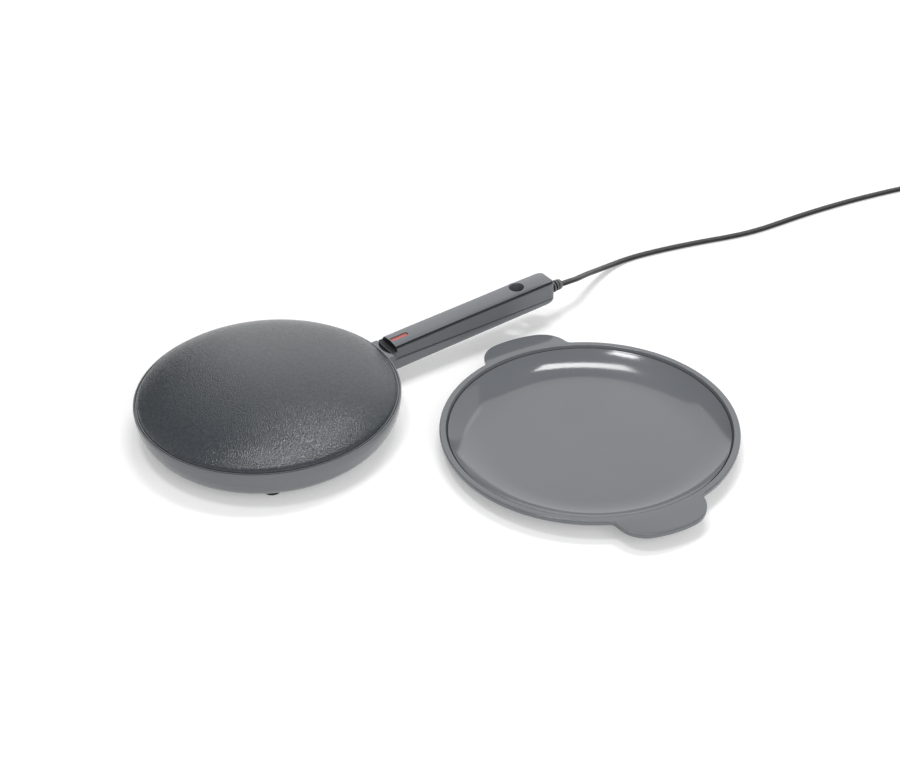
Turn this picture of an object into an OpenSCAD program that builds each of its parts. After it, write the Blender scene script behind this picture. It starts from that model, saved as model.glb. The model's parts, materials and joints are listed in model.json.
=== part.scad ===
// Hand-held electric crepe maker, dipped plate down into its loose batter dish.
// +X runs along the handle, +Z is up, and the table top is z = 0. Lengths are millimetres.

/* [Cooking plate] */
// diameter of the domed cooking plate
plate_d = 197.4; // [180:0.2:230]
// slope of the dome where it meets the rounded edge, in degrees
dome_angle = 17.5; // [8:0.5:24]
// radius of the plate's rounded edge
plate_edge_r = 3.5; // [2:0.5:5]
// wall of the cast plate
plate_t = 4; // [3:0.5:5]
// wall of the plate's skirt
skirt_t = 3; // [2:0.5:4]
// height of the plate's skirt below its rounded edge
skirt_h = 4.3; // [3:0.1:6]

/* [Heating element] */
// diameter of the tubular element's ring, at the middle of the tube
element_ring_d = 124; // [110:1:140]
// diameter of the element's tube
element_d = 6.4; // [5:0.2:8]
// angle between the element's two ends, in degrees
element_gap = 60; // [40:5:90]
// wall of the rib that holds the element, on each side of it
rib_t = 3; // [2:0.5:5]
// thickness of the clamp strips
strap_t = 1.5; // [1:0.1:2]
// width of the clamp strips
strap_w = 9; // [7:0.5:12]

/* [Base housing] */
// height of the housing's rim above the table
rim_h = 30.5; // [29:0.5:40]
// width of the housing's rim, seen from above
lip_w = 1.1; // [0.8:0.1:2]
// width of the shadow groove between the housing and the bezel ring
groove_w = 0.8; // [0.5:0.1:1.5]
// depth of the shadow groove
groove_h = 2.5; // [1.5:0.1:3]
// width of the bezel ring, seen from above
bezel_w = 0.9; // [0.7:0.1:2]
// thickness of the bezel ring's flange
bezel_t = 1.5; // [1:0.1:2]
// thickness of the flat seal under the plate's skirt
seal_t = 1; // [0.6:0.1:1.6]
// wall of the round housing
wall_t = 2.4; // [1.8:0.2:3]
// thickness of the housing's floor
floor_t = 2.6; // [2:0.2:4]
// radius of the housing's curved side
side_r = 28.6; // [26:0.2:36]
// straight height under the rim, before the side curves in
side_flat = 2.5; // [1:0.5:4]
// width of the ledge that carries the plate
ledge_w = 5.5; // [4.5:0.5:8]
// diameter of the circle through the four base screws
base_screw_circle = 90; // [80:1:96]
// outer diameter of the screw towers and plate bosses
tower_d = 12; // [11:0.5:14]
// depth of the screws' counterbores
base_sink = 9; // [6:0.5:11]
// thickness of the heat shield
shield_t = 0.8; // [0.5:0.1:1.5]
// gap between the heat shield and the opening that it is put in through
shield_gap = 5.95; // [2:0.05:12]

/* [Feet] */
// height that the feet stand clear of the housing
foot_h = 5; // [3:0.5:8]
// diameter of the rubber feet
foot_d = 14; // [10:0.5:16]
// distance from a foot's middle to the edge of the housing's floor
foot_inset = 10; // [9:0.5:20]
// azimuth of each foot, in degrees from the handle
foot_angles = [0, 118, 242];
// diameter of the stem that holds a foot in the floor
foot_stem_d = 6; // [4:0.5:8]

/* [Handle] */
// length of the handle, from the housing's rim to its far end
handle_l = 160.35; // [140:0.05:200]
// upward slope of the handle, in degrees
handle_pitch = 2.4; // [0:0.1:4]
// height of the handle's crown where it crosses the rim
neck_crown_h = 35.7; // [35:0.1:40]
// width of the handle
handle_w = 24.4; // [23:0.2:28]
// height of the handle's section
handle_h = 23.5; // [22:0.5:27]
// width of the shallow crown between its two edges
crown_w = 17.4; // [14:0.2:20]
// rise of the crown's arch
crown_rise = 2.1; // [1:0.1:3]
// depth below the crown where the sides become straight
shoulder_drop = 7.5; // [6:0.5:9]
// radius of the handle's lower corners
belly_r = 7; // [5:0.5:9]
// wall of the handle's shells
shell_t = 2; // [1.5:0.1:2.4]
// height of the parting between the cover and the lower shell
parting_h = 26.5; // [24:0.5:28]
// amount that the lower shell steps in under the cover at the neck, on each side
neck_step = 1.4; // [0:0.1:2]
// share of the handle's length over which the step fades out
step_share = 0.7; // [0.3:0.05:0.75]
// rounding of the far end's corners, seen from above
end_r = 1.6; // [1:0.1:3]
// bow of the far end, seen from above
end_bow = 1.5; // [0.5:0.1:3]
// rounding of the far end's top and bottom edges
end_top_r = 2.5; // [1:0.1:4]

/* [Neck] */
// length of the flat tongue between the rim and the cover
tongue_l = 4.2; // [3:0.1:8]
// width of the tongue
tongue_w = 26.5; // [24:0.5:30]
// lean of the cover's end face along the handle
face_lean = 3.8; // [1:0.1:6]
// width of the finger scoop in the tongue
scoop_w = 18; // [12:0.5:22]
// length of the scoop, along the handle
scoop_l = 2.4; // [1.5:0.1:4]
// depth of the scoop
scoop_depth = 1.6; // [0.5:0.1:2.5]
// width of the ridge between the scoop and the cover
ridge_w = 0.9; // [0.5:0.1:1.5]

/* [Indicator] */
// distance from the housing's rim to the near end of the lens slot
slot_start = 9.35; // [9:0.05:20]
// length of the lens slot
slot_l = 15.6; // [10:0.2:20]
// width of the lens slot
slot_w = 4.5; // [3:0.1:6]
// gap round the lens
lens_gap = 0.25; // [0.1:0.05:0.5]
// depth of the lens below the crown
lens_sink = 1; // [0.4:0.1:1.5]
// thickness of the lens
lens_t = 3; // [2:0.2:4]
// diameter of the neon lamp
neon_d = 5; // [4:0.5:6]

/* [Hanging hole] */
// distance from the handle's far end to the middle of the hanging hole
hole_end = 30.4; // [26:1:42]
// diameter of the hanging hole
hole_d = 12.5; // [8:0.5:13]
// wall of the sleeve round the hole
sleeve_t = 1.5; // [1:0.1:1.7]

/* [Handle screws] */
// distance from the housing's rim to the first handle screw
screw_start = 35.35; // [32:0.05:44]
// distance from the last handle screw to the middle of the hanging hole
screw_hole_gap = 23; // [16:1:30]
// diameter of the handle screws
handle_screw_d = 3; // [2.5:0.1:3.5]

/* [Strain relief] */
// length of the ribbed sleeve outside the handle
relief_l = 12; // [8:0.5:20]
// diameter of the sleeve where it leaves the handle
relief_d = 11; // [9:0.5:12]
// diameter of the sleeve's tip
relief_tip_d = 8.6; // [7.5:0.2:10]
// height of the sleeve's axis above the table, at the handle's end
relief_h = 27.6; // [26:0.2:29]
// length of the sleeve inside the handle
relief_inner_l = 10; // [8:0.5:12]

/* [Cord and plug] */
// width of the flat cord
cord_w = 6; // [5:0.2:8]
// thickness of the flat cord
cord_t = 3.4; // [2.6:0.2:4]
// diameter of the coil, at the middle of its turns
coil_d = 66; // [60:1:72]
// height of the coil
coil_h = 11.8; // [8:0.2:16]
// length of the plug's body
plug_l = 30; // [24:1:36]
// width of the plug's body
plug_w = 25; // [22:0.5:30]
// thickness of the plug's body
plug_t = 13; // [11:0.5:16]
// length of the plug's two flat pins
pin_l = 16; // [14:0.5:19]
// distance between the plug's pins
pin_pitch = 12.7; // [12:0.1:14]

/* [Batter dish] */
// diameter over the dish's flange
flange_d = 225.1; // [210:1:250]
// height of the dish
dish_h = 16.5; // [15:0.5:24]
// wall of the dish
dish_t = 2.3; // [1.8:0.1:3]
// width of the flat rim round the bowl
band_w = 4.8; // [3:0.1:7]
// step from the rim down to the bowl
band_step = 0.8; // [0.5:0.1:1.5]
// depth of the flange's turned-down edge
flange_edge = 3.4; // [2.8:0.1:6]
// radius of the bowl's rounded wall
bowl_r = 53; // [40:1:70]
// diameter of the foot ring
foot_ring_d = 138; // [100:1:150]
// height of the foot ring
foot_ring_h = 1; // [0.6:0.1:2]
// distance of the dish's centre from the plate's, along the handle
dish_x = 186.3; // [170:0.1:240]
// distance of the dish's centre from the plate's, across the handle
dish_y = -158.1; // [-200:0.1:-155]

/* [Dish ears] */
// reach of each ear beyond the flange's edge
ear_reach = 18.7; // [12:0.1:24]
// width of an ear
ear_w = 66.5; // [56:0.5:80]
// radius of an ear's outer corners
ear_corner_r = 22.2; // [14:0.1:24]
// radius of an ear's outer edge
ear_tip_r = 83.8; // [60:0.1:110]
// radius where an ear runs into the flange
ear_fillet = 6; // [4:0.5:10]
// fall of an ear towards its tip, in degrees
ear_fall = 8; // [0:0.5:12]
// turn of the ears from straight across the handle, in degrees
ear_turn = -10; // [-10:1:0]

/* [Hidden] */
$fn = 96;
fit = 0.15;                     // gap between pieces that seat in each other
slip = 0.05;                    // gap round a screw, in radius
overlap = 1;                    // depth that joined shapes of one piece share
arc_steps = 6;

// ---- stack of the plate, from the table up
plate_r = plate_d/2;
skirt_top = rim_h + 0.3;
skirt_bottom = skirt_top - skirt_h;
ledge_h = skirt_bottom - seal_t - bezel_t;
dome_start_r = plate_r - plate_edge_r*(1 - sin(dome_angle));
dome_r = dome_start_r/sin(dome_angle);
dome_z = skirt_top + plate_edge_r*cos(dome_angle) - dome_r*cos(dome_angle);
function dome_top(r) = dome_z + sqrt(pow(dome_r, 2) - r*r);
function dome_under(r) = dome_z + sqrt(pow(dome_r - plate_t, 2) - r*r);

// ---- rings round the plate
bezel_in = plate_r + fit;
bezel_out = bezel_in + bezel_w;
lip_in = bezel_out + groove_w;
rim_r = lip_in + lip_w;
ledge_in = lip_in - ledge_w - lip_w;

// ---- curved side of the housing
side_top = rim_h - side_flat;
side_cx = rim_r - side_r;
function side_out(z) = side_cx + sqrt(pow(side_r, 2) - pow(side_top - z, 2));
function side_in(z) = side_cx + sqrt(pow(side_r - wall_t, 2) - pow(side_top - z, 2));
floor_top = foot_h + floor_t;
base_r = side_out(foot_h);
foot_r = base_r - foot_inset;
shield_r = ledge_in - shield_gap;

// ---- element, straps and shield
element_r = element_ring_d/2;
element_z = dome_under(element_r) - fit - element_d/2;
rib_bottom = element_z - element_d/2 - slip;
rib_w = element_d + 2*(fit + rib_t);
strap_screw_d = 3;
strap_screw_head = 6;
strap_screw_head_h = 2;
strap_screw_r = element_r - rib_w/2 - strap_w/2 - 0.5;
strap_l = element_r + rib_w/2 - strap_screw_r + strap_w/2;
base_screw_d = 4;
base_head_d = 7.6;
base_head_h = 2.6;
base_screw_r = base_screw_circle/2;
shield_z = rib_bottom - strap_t - strap_screw_head_h - 5.2;
shield_top = shield_z + shield_t;
thermo_x = 24;
thermo_d = 14;
thermo_h = 8;
thermo_foot_t = 1.2;
thermo_foot_l = 30;
thermo_screw_d = 4;
fuse_d = 4.4;
fuse_l = 22;

// ---- handle, in its own frame: u along the crown from the rim, w up from the crown
handle_x0 = rim_r;
handle_reach = rim_r + handle_l;
end_lean = 0.5;                 // half of the lean of the handle's far end
step_end = rim_r + step_share*handle_l;
slot_x = rim_r + slot_start;
hole_x = handle_reach - hole_end;
screw_x0 = rim_r + screw_start;
screw_x2 = hole_x - screw_hole_gap;
handle_screw_x = [screw_x0, (screw_x0 + screw_x2)/2, screw_x2];
handle_len = (handle_reach - handle_x0 - handle_h/2*sin(handle_pitch))/cos(handle_pitch);
function crown_h(x) = neck_crown_h + (x - handle_x0)*tan(handle_pitch);
function belly_h(x) = crown_h(x) - handle_h/cos(handle_pitch);
crown_arch_r = (pow(crown_w/2, 2) + pow(crown_rise, 2))/(2*crown_rise);
crown_arch_a = asin(crown_w/2/crown_arch_r);
shoulder_x = (handle_w - crown_w)/2;
shoulder_h = shoulder_drop - crown_rise;
shoulder_arc_r = (pow(shoulder_x, 2) + pow(shoulder_h, 2))/(2*shoulder_x);
shoulder_arc_a = asin(shoulder_h/shoulder_arc_r);
cover_x0 = rim_r + tongue_l;

// ---- strain relief
relief_groove_d = 9;
relief_flange_d = 12.4;
relief_flange_t = 2.5;
relief_tip_x = handle_reach + relief_l;

// ---- dish
flange_r = flange_d/2;
dish_floor_h = foot_ring_h + dish_t;
bowl_top_r = flange_r - band_w - band_step/3;
bowl_slope = acos(1 - (dish_h - band_step - dish_floor_h)/bowl_r);
bowl_c = [bowl_top_r - bowl_r*sin(bowl_slope), dish_floor_h + bowl_r];
ear_tip_y = flange_r + ear_reach - ear_tip_r;
ear_corner_x = ear_w/2 - ear_corner_r;
ear_corner_y = ear_tip_y + sqrt(pow(ear_tip_r - ear_corner_r, 2) - pow(ear_corner_x, 2));
ear_low_y = ear_tip_y*cos(ear_turn) + ear_tip_r;

// ---- the set stands centred on the origin
plate_x = -(dish_x + flange_r - rim_r)/2;
plate_y = -(dish_y - ear_low_y + rim_r)/2;

// ---- cord's route, in millimetres from the strain relief's tip: along, across, height
cord_route = [
    [0, 0, relief_h], [7, 0.3, 27], [14, 1.5, 25.8], [22, 4, 23.6], [31, 8.5, 20.4], [42, 14.5, 16],
    [56, 21, 10.8], [69, 26, 6.8], [81, 29.6, 3.9], [94, 31.6, 2.2], [108, 31, 1.8], [131, 27, 1.8],
    [154, 21.6, 1.8], [176, 15.6, 1.8], [196, 9.6, 1.8], [214, 5.4, 1.8], [231, 3, 1.8], [246, 2, 1.8],
    [271, 0.6, 1.8], [296, -1.6, 1.8], [326, -5.4, 1.8], [356, -10.6, 1.8], [380, -15.6, 1.8],
    [402, -20.8, 1.8], [420, -25.2, 1.8], [432, -28, 1.8]];
coil_x = 441;
coil_y = -62;
tail_x = coil_x + coil_d/2;
plug_x = tail_x - 2;
plug_y = coil_y - 52;
tail_route = [
    [tail_x, coil_y - 4, 9.9], [tail_x - 1, coil_y - 16, 9.2], [plug_x, coil_y - 28, 7.6],
    [plug_x, coil_y - 40, 6.7], [plug_x, plug_y, plug_t/2]];

// ---- outlines

// points on an arc about c, from angle a0 to a1
function arc(c, r, a0, a1, n = arc_steps) =
    [for (i = [0:n]) c + r*[cos(a0 + (a1 - a0)*i/n), sin(a0 + (a1 - a0)*i/n)]];

function unit(v) = v/norm(v);
function turn(a) = a > 180 ? a - 360 : a < -180 ? a + 360 : a;
function bearing(v) = atan2(v.y, v.x);

// arc of radius r in the corner b between a and c
function corner(a, b, c, r, n) = let (
    u = unit(a - b), v = unit(c - b), half = acos(u*v)/2,
    o = b + unit(u + v)*r/sin(half), d = r/tan(half),
    a0 = bearing(b + u*d - o), da = turn(bearing(b + v*d - o) - a0))
    arc(o, r, a0, a0 + da, n);

// closed outline through points [x, y, corner radius]
function outline(p, n = arc_steps) = [for (i = [0:len(p) - 1])
    let (a = p[(i + len(p) - 1) % len(p)], b = p[i], c = p[(i + 1) % len(p)])
    each b.z > 0 ? corner([a.x, a.y], [b.x, b.y], [c.x, c.y], b.z, n) : [[b.x, b.y]]];

function mirrored(p) = [for (i = [len(p) - 1:-1:0]) [-p[i].x, p[i].y]];

// handle's cross-section, drawn in by a wall of i
function handle_half(i) = concat(
    arc([0, -crown_arch_r], crown_arch_r - i, 90, 90 - crown_arch_a),
    arc([handle_w/2 - shoulder_arc_r, -shoulder_drop], shoulder_arc_r - i, shoulder_arc_a, 0),
    arc([handle_w/2 - belly_r, belly_r - handle_h], belly_r - i, 0, -90));
function handle_section(i) = concat(handle_half(i), mirrored(handle_half(i)));

// ear's outline from above, drawn in by i, pointing along +Y
function ear_half(i) = let (
    tip_a = atan2(ear_corner_x, ear_corner_y - ear_tip_y),
    reach = ear_corner_r + ear_fillet, far = flange_r + ear_fillet,
    c = [ear_corner_x, ear_corner_y], d = norm(c),
    along = (far*far - reach*reach + d*d)/(2*d), across = sqrt(far*far - along*along),
    f = along*unit(c) + across*[c.y, -c.x]/d,
    to_corner = bearing(c - f), to_dish = bearing(-f))
    concat(
        arc([0, ear_tip_y], ear_tip_r - i, 90, 90 - tip_a),
        arc(c, ear_corner_r - i, 90 - tip_a, to_corner + 180, 8),
        arc(f, ear_fillet + i, to_corner, to_dish < to_corner ? to_dish + 360 : to_dish),
        [(flange_r - 3)*unit(f)]);
function ear_outline(i) = concat(ear_half(i), mirrored(ear_half(i)));

// ---- small shapes

module at_plate() translate([plate_x, plate_y, 0]) children();
module at_cord() at_plate() translate([relief_tip_x, 0, 0]) children();
module at_dish() translate([plate_x + dish_x, plate_y + dish_y, 0]) children();
module ring(r, angles) for (a = angles) rotate(a) translate([r, 0, 0]) children();

// prism of a section drawn across the handle, from u0 to u1 along it
module along_handle(u0, u1) translate([handle_x0, 0, neck_crown_h]) rotate([0, -handle_pitch, 0])
    translate([u0, 0, 0]) rotate([90, 0, 90]) linear_extrude(u1 - u0) children();

// prism of an outline drawn in the handle's side view, across its whole width
module across_handle() rotate([90, 0, 0]) translate([0, 0, -handle_w]) linear_extrude(2*handle_w)
    children();

module tube(d, inner_d, z0, z1) translate([0, 0, z0]) difference() {
    cylinder(d = d, h = z1 - z0);
    translate([0, 0, -overlap]) cylinder(d = inner_d, h = z1 - z0 + 2*overlap);
}

// pan-head screw, point up, with the underside of its head at z
module screw(d, head_d, head_h, z, top) {
    translate([0, 0, z]) cylinder(d = d, h = top - z, $fn = 32);
    translate([0, 0, z - head_h]) difference() {
        rotate_extrude($fn = 48) polygon(outline([[0, 0, 0], [head_d/2, 0, head_h/3],
            [head_d/2, head_h, 0], [0, head_h, 0]], 4));
        for (a = [0, 90]) rotate(a) translate([-head_d/3, -d/8, -overlap])
            cube([head_d/1.5, d/4, overlap + head_h/2]);
    }
}

// ---- cooking plate and what is fixed under it

strap_angles = [90, 180, 270];
base_screw_angles = [45, 135, 225, 315];

module plate_section() polygon(concat(
    arc([0, dome_z], dome_r, 90, 90 - dome_angle, 24),
    arc([plate_r - plate_edge_r, skirt_top], plate_edge_r, 90 - dome_angle, 0),
    [[plate_r, skirt_bottom], [plate_r - skirt_t, skirt_bottom]],
    arc([0, dome_z], dome_r - plate_t, acos((plate_r - skirt_t - 2)/(dome_r - plate_t)), 90, 12)));

module rib_section() difference() {
    translate([element_r - rib_w/2, rib_bottom])
        square([rib_w, dome_under(element_r) - rib_bottom + overlap]);
    translate([element_r - element_d/2 - fit, rib_bottom - overlap])
        square([element_d + 2*fit, element_z + element_d/2 + fit - rib_bottom + overlap]);
}

// solid boss from z up into the plate at radius r, with a blind hole for a screw
module plate_boss(r, d, z) translate([0, 0, z]) cylinder(d = d, h = dome_under(r) - z + overlap);
module boss_hole(d, z, top) translate([0, 0, z - overlap])
    cylinder(d = d + 2*slip, h = top - z + overlap + 0.5, $fn = 32);

module cooking_plate() color("#5b5f62") at_plate() difference() {
    union() {
        rotate_extrude($fn = 180) plate_section();
        rotate_extrude() rib_section();
        ring(base_screw_r, base_screw_angles) plate_boss(base_screw_r, tower_d, shield_top);
        ring(strap_screw_r, strap_angles) plate_boss(strap_screw_r, strap_w, rib_bottom);
        translate([thermo_x, 0, 0]) plate_boss(thermo_x, thermo_d, rib_bottom);
    }
    ring(base_screw_r, base_screw_angles) boss_hole(base_screw_d, shield_top, dome_under(base_screw_r) - 2);
    ring(strap_screw_r, strap_angles) boss_hole(strap_screw_d, rib_bottom, rib_bottom + 6);
    translate([thermo_x, 0, 0]) boss_hole(thermo_screw_d, rib_bottom, rib_bottom + 6);
}

module plate_seal() color("#8a3b2e") at_plate() rotate_extrude($fn = 180)
    translate([plate_r - skirt_t, skirt_bottom - seal_t]) square([skirt_t, seal_t]);

module bezel_ring() color("#9c9da0") at_plate() rotate_extrude($fn = 180) polygon([
    [ledge_in, ledge_h], [lip_in - fit, ledge_h], [lip_in - fit, rim_h - groove_h],
    [bezel_out, rim_h - groove_h], [bezel_out, rim_h], [bezel_in, rim_h], [bezel_in, ledge_h + bezel_t],
    [ledge_in, ledge_h + bezel_t]]);

// ring of tube with a ferrule and a cold pin at each end
ferrule_d = element_d - 1.6;
ferrule_h = 2;
pin_d = 2.4;
pin_x = element_r*cos(element_gap/2 + 3);
pin_y = element_r*sin(element_gap/2 + 3);
notch_y = pin_y + 4.2;
element_end_z = shield_top + 1.5;
module heating_element() color("#a9a49c") at_plate() {
    rotate(element_gap/2) rotate_extrude(angle = 360 - element_gap, $fn = 120)
        translate([element_r, element_z]) rotate(90) circle(d = element_d, $fn = 24);
    for (a = [-1, 1]) rotate(a*(element_gap/2 + 3)) translate([element_r, 0, 0]) {
        translate([0, 0, rib_bottom - ferrule_h])
            cylinder(d = ferrule_d, h = element_z + 1.2 - rib_bottom + ferrule_h, $fn = 32);
        translate([0, 0, element_end_z]) cylinder(d = pin_d, h = rib_bottom - element_end_z, $fn = 24);
    }
}

module element_clamps() color("#b9bbbd") at_plate() for (a = strap_angles) rotate(a) difference() {
    translate([strap_screw_r - strap_w/2, 0, rib_bottom - strap_t]) linear_extrude(strap_t)
        polygon(outline([[0, -strap_w/2, strap_w/3], [strap_l, -strap_w/2, 1.5], [strap_l, strap_w/2, 1.5],
            [0, strap_w/2, strap_w/3]]));
    translate([strap_screw_r, 0, rib_bottom - strap_t - overlap])
        cylinder(d = strap_screw_d + 2*slip, h = strap_t + 2*overlap, $fn = 32);
}

module clamp_screws() color("#c9cbcd") at_plate() ring(strap_screw_r, strap_angles)
    screw(strap_screw_d, strap_screw_head, strap_screw_head_h, rib_bottom - strap_t, rib_bottom + 6);

// pressed disc with room for the towers, the element's ends and the thermostat
module heat_shield() color("#c3c5c8") at_plate() difference() {
    translate([0, 0, shield_z]) cylinder(r = shield_r, h = shield_t);
    ring(base_screw_r, base_screw_angles) translate([0, 0, shield_z - overlap])
        cylinder(d = base_screw_d + 2*fit, h = shield_t + 2*overlap, $fn = 32);
    translate([0, 0, shield_z - overlap]) linear_extrude(shield_t + 2*overlap) polygon(outline([
        [thermo_x + 5, -16, 4], [element_r - 6, -notch_y, 4], [2*shield_r, -notch_y, 0],
        [2*shield_r, notch_y, 0], [element_r - 6, notch_y, 4], [thermo_x + 5, 16, 4]]));
}

// foot plate, round ceramic body and two blades
blade_t = 0.8;
blade_w = 8;
thermo_body_x = thermo_x + thermo_d;
thermo_bottom = rib_bottom - thermo_foot_t - thermo_h;
blade_low_z = thermo_bottom + 2;
blade_high_z = thermo_bottom + 5;
blade_low_x = thermo_body_x + 14;
blade_high_x = thermo_body_x + 12;
module thermostat() color("#d9d3c5") at_plate() difference() {
    union() {
        translate([thermo_x, 0, rib_bottom - thermo_foot_t]) linear_extrude(thermo_foot_t) polygon(outline([
            [-thermo_d/2, -5, 4], [thermo_foot_l - 10, -5, 2], [thermo_foot_l - 10, 5, 2],
            [-thermo_d/2, 5, 4]]));
        translate([thermo_body_x, 0, thermo_bottom]) cylinder(d = 10, h = thermo_h + slip, $fn = 48);
        for (b = [[blade_low_x, blade_low_z], [blade_high_x, blade_high_z]])
            translate([thermo_body_x, -blade_w/2, b.y]) cube([b.x - thermo_body_x, blade_w, blade_t]);
    }
    translate([thermo_x, 0, rib_bottom - thermo_foot_t - overlap])
        cylinder(d = thermo_screw_d + 2*slip, h = thermo_foot_t + 2*overlap, $fn = 32);
}

module thermostat_screw() color("#c9cbcd") at_plate() translate([thermo_x, 0, 0])
    screw(thermo_screw_d, 7, 2.4, rib_bottom - thermo_foot_t, rib_bottom + 6);

// fuse in its sleeve, lying along the plate's rib between the element's ends
fuse_gap = 0.85;
fuse_x = sqrt(pow(element_r - rib_w/2, 2) - pow(fuse_l/2, 2)) - fuse_d/2 - fuse_gap;
fuse_z = rib_bottom + fuse_d/2;
fuse_end = fuse_l/2 + 5;
module thermal_fuse() color("#e8e4da") at_plate() translate([fuse_x, 0, fuse_z]) rotate([90, 0, 0]) {
    translate([0, 0, -fuse_l/2]) cylinder(d = fuse_d, h = fuse_l, $fn = 32);
    translate([0, 0, -fuse_end]) cylinder(d = 1.4, h = 2*fuse_end, $fn = 16);
}

// ---- housing and handle

// points down a side of the housing between two heights
function side_curve(side, z0, z1, n = 8) = [for (i = [0:n]) let (z = z0 + (z1 - z0)*i/n)
    [side == "out" ? side_out(z) : side_in(z), z]];

module housing_section() polygon(concat(
    [[0, foot_h], [base_r - 1, foot_h]], side_curve("out", foot_h + 0.8, side_top, 10),
    arc([rim_r - 0.5, rim_h - 0.5], 0.5, 0, 90, 3),
    [[lip_in, rim_h], [lip_in, ledge_h], [ledge_in, ledge_h], [ledge_in, ledge_h - 2]],
    side_curve("in", ledge_h - 6, floor_top), [[0, floor_top]]));

// room inside the round housing, up through the opening that the plate fills
module housing_room() rotate_extrude() polygon(concat(
    [[0, floor_top]], side_curve("in", floor_top, ledge_h - 6),
    [[ledge_in, ledge_h - 2], [ledge_in, ledge_h], [lip_in, ledge_h], [lip_in, rim_h + 20],
    [0, rim_h + 20]]));

// handle seen from above and from the side; the lower shell steps in at the neck by s, and the far end is
// bowed between its corners
bow_share = 0.85;
bow_apex = end_bow/(1 - bow_share/2);
function plan(x0, s, i) = let (w = handle_w/2 - i, x1 = handle_reach + end_lean - end_bow - i) outline([
    [x0, s - w, 0], [step_end, -w, 0], [x1, -w, end_r],
    [x1 + bow_apex, 0, bow_share*w*w/bow_apex], [x1, w, end_r],
    [step_end, w, 0], [x0, w - s, 0]]);
function profile(x0, i) = outline([
    [x0, belly_h(x0) + i, 0], [handle_reach + end_lean - i, belly_h(handle_reach) + i, end_top_r],
    [handle_reach - end_lean - i, crown_h(handle_reach) - i, end_top_r], [x0, crown_h(x0) - i, 0]]);

// solid of the handle with its walls drawn in by i, from x0 to the far end
module handle_body(x0, s, i) intersection() {
    along_handle(-30, handle_len + 10) polygon(handle_section(i));
    linear_extrude(2*rim_h) polygon(plan(x0, s, i));
    across_handle() polygon(profile(x0, i));
}

module below_parting(z = parting_h) translate([0, -handle_w, -rim_h])
    cube([2*handle_reach, 2*handle_w, z + rim_h]);
module above_parting(z = parting_h) translate([0, -handle_w, z])
    cube([2*handle_reach, 2*handle_w, 2*rim_h]);

module tongue() translate([0, 0, belly_h(rim_r)]) intersection() {
    linear_extrude(rim_h - belly_h(rim_r)) polygon(outline([
        [rim_r - 8, -tongue_w/2, 0], [cover_x0 - slip, -tongue_w/2, 1], [cover_x0 - slip, tongue_w/2, 1],
        [rim_r - 8, tongue_w/2, 0]]));
    translate([0, 0, parting_h - 3 - belly_h(rim_r)]) cylinder(r = 2*rim_r, h = rim_h);
}

// half-round recess with its straight side towards the cover
scoop_r = (pow(scoop_w/2, 2) + pow(scoop_l, 2))/(2*scoop_l);
scoop_x = cover_x0 - ridge_w;
module scoop() translate([0, 0, rim_h - scoop_depth]) intersection() {
    translate([scoop_x - scoop_l + scoop_r, 0, 0]) cylinder(r = scoop_r, h = scoop_depth + overlap);
    translate([0, -scoop_w, 0]) cube([scoop_x, 2*scoop_w, scoop_depth + overlap]);
}

screw_boss_d = handle_screw_d + 4;
handle_head_d = handle_screw_d + 2.6;
handle_head_h = 2;
function head_seat(x) = belly_h(x) + 5;
function screw_tip(x) = crown_h(x) - shell_t - 1.5;
sleeve_d = hole_d + 2*sleeve_t;
wire_way_w = 15;

// ribs of the two shells that hold the strain relief between them
cradle_t = 2.5;
cradle_w = handle_w - 2*shell_t - 3;
cradle_x = handle_reach - relief_inner_l + 1;

module relief_port(d) translate([handle_reach - 20, 0, relief_h]) rotate([0, 90, 0])
    cylinder(d = d, h = 40, $fn = 48);

module base_housing() color("#7d7f83") at_plate() difference() {
    union() {
        rotate_extrude($fn = 180) housing_section();
        difference() {
            union() {
                intersection() { handle_body(rim_r - 14, neck_step, 0); below_parting(); }
                tongue();
            }
            housing_room();
            intersection() { handle_body(rim_r + 1, neck_step, shell_t); below_parting(parting_h + 1); }
            scoop();
        }
        ring(base_screw_r, base_screw_angles) translate([0, 0, foot_h + 1])
            cylinder(d = tower_d, h = shield_z - foot_h - 1);
        for (x = handle_screw_x) translate([x, 0, belly_h(x) + 1])
            cylinder(d = screw_boss_d, h = parting_h - belly_h(x) - 1, $fn = 48);
        translate([hole_x, 0, belly_h(hole_x) + 1])
            cylinder(d = sleeve_d, h = parting_h - belly_h(hole_x) - 1);
        translate([cradle_x, -cradle_w/2, belly_h(cradle_x) + 1])
            cube([cradle_t, cradle_w, parting_h - belly_h(cradle_x) - 1]);
    }
    // way for the wires from the handle into the round housing
    translate([rim_r - 20, -wire_way_w/2, belly_h(rim_r) + shell_t])
        cube([24, wire_way_w, parting_h - belly_h(rim_r) - 2*shell_t - 2]);
    ring(base_screw_r, base_screw_angles) translate([0, 0, foot_h - overlap]) {
        cylinder(d = base_screw_d + 2*fit, h = rim_h, $fn = 32);
        cylinder(d = base_head_d + 2*fit, h = base_sink + overlap, $fn = 48);
    }
    ring(foot_r, foot_angles) translate([0, 0, foot_h - overlap])
        cylinder(d = foot_stem_d + 2*slip, h = floor_t + 2*overlap, $fn = 48);
    for (x = handle_screw_x) translate([x, 0, 0]) {
        cylinder(d = handle_screw_d + 2*fit, h = rim_h, $fn = 32);
        cylinder(d = handle_head_d + 2*fit, h = head_seat(x), $fn = 48);
    }
    translate([hole_x, 0, 0]) cylinder(d = hole_d, h = rim_h);
    relief_port(relief_groove_d + 2*fit);
}

// side view of the cover: its near end leans back from the tongue
module cover_profile() polygon(outline([
    [cover_x0, parting_h - overlap, 0], [cover_x0, rim_h, 0],
    [cover_x0 + face_lean, crown_h(cover_x0 + face_lean), 1.2],
    [handle_reach + 10, crown_h(handle_reach + 10), 0], [handle_reach + 10, parting_h - overlap, 0]]));

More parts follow.
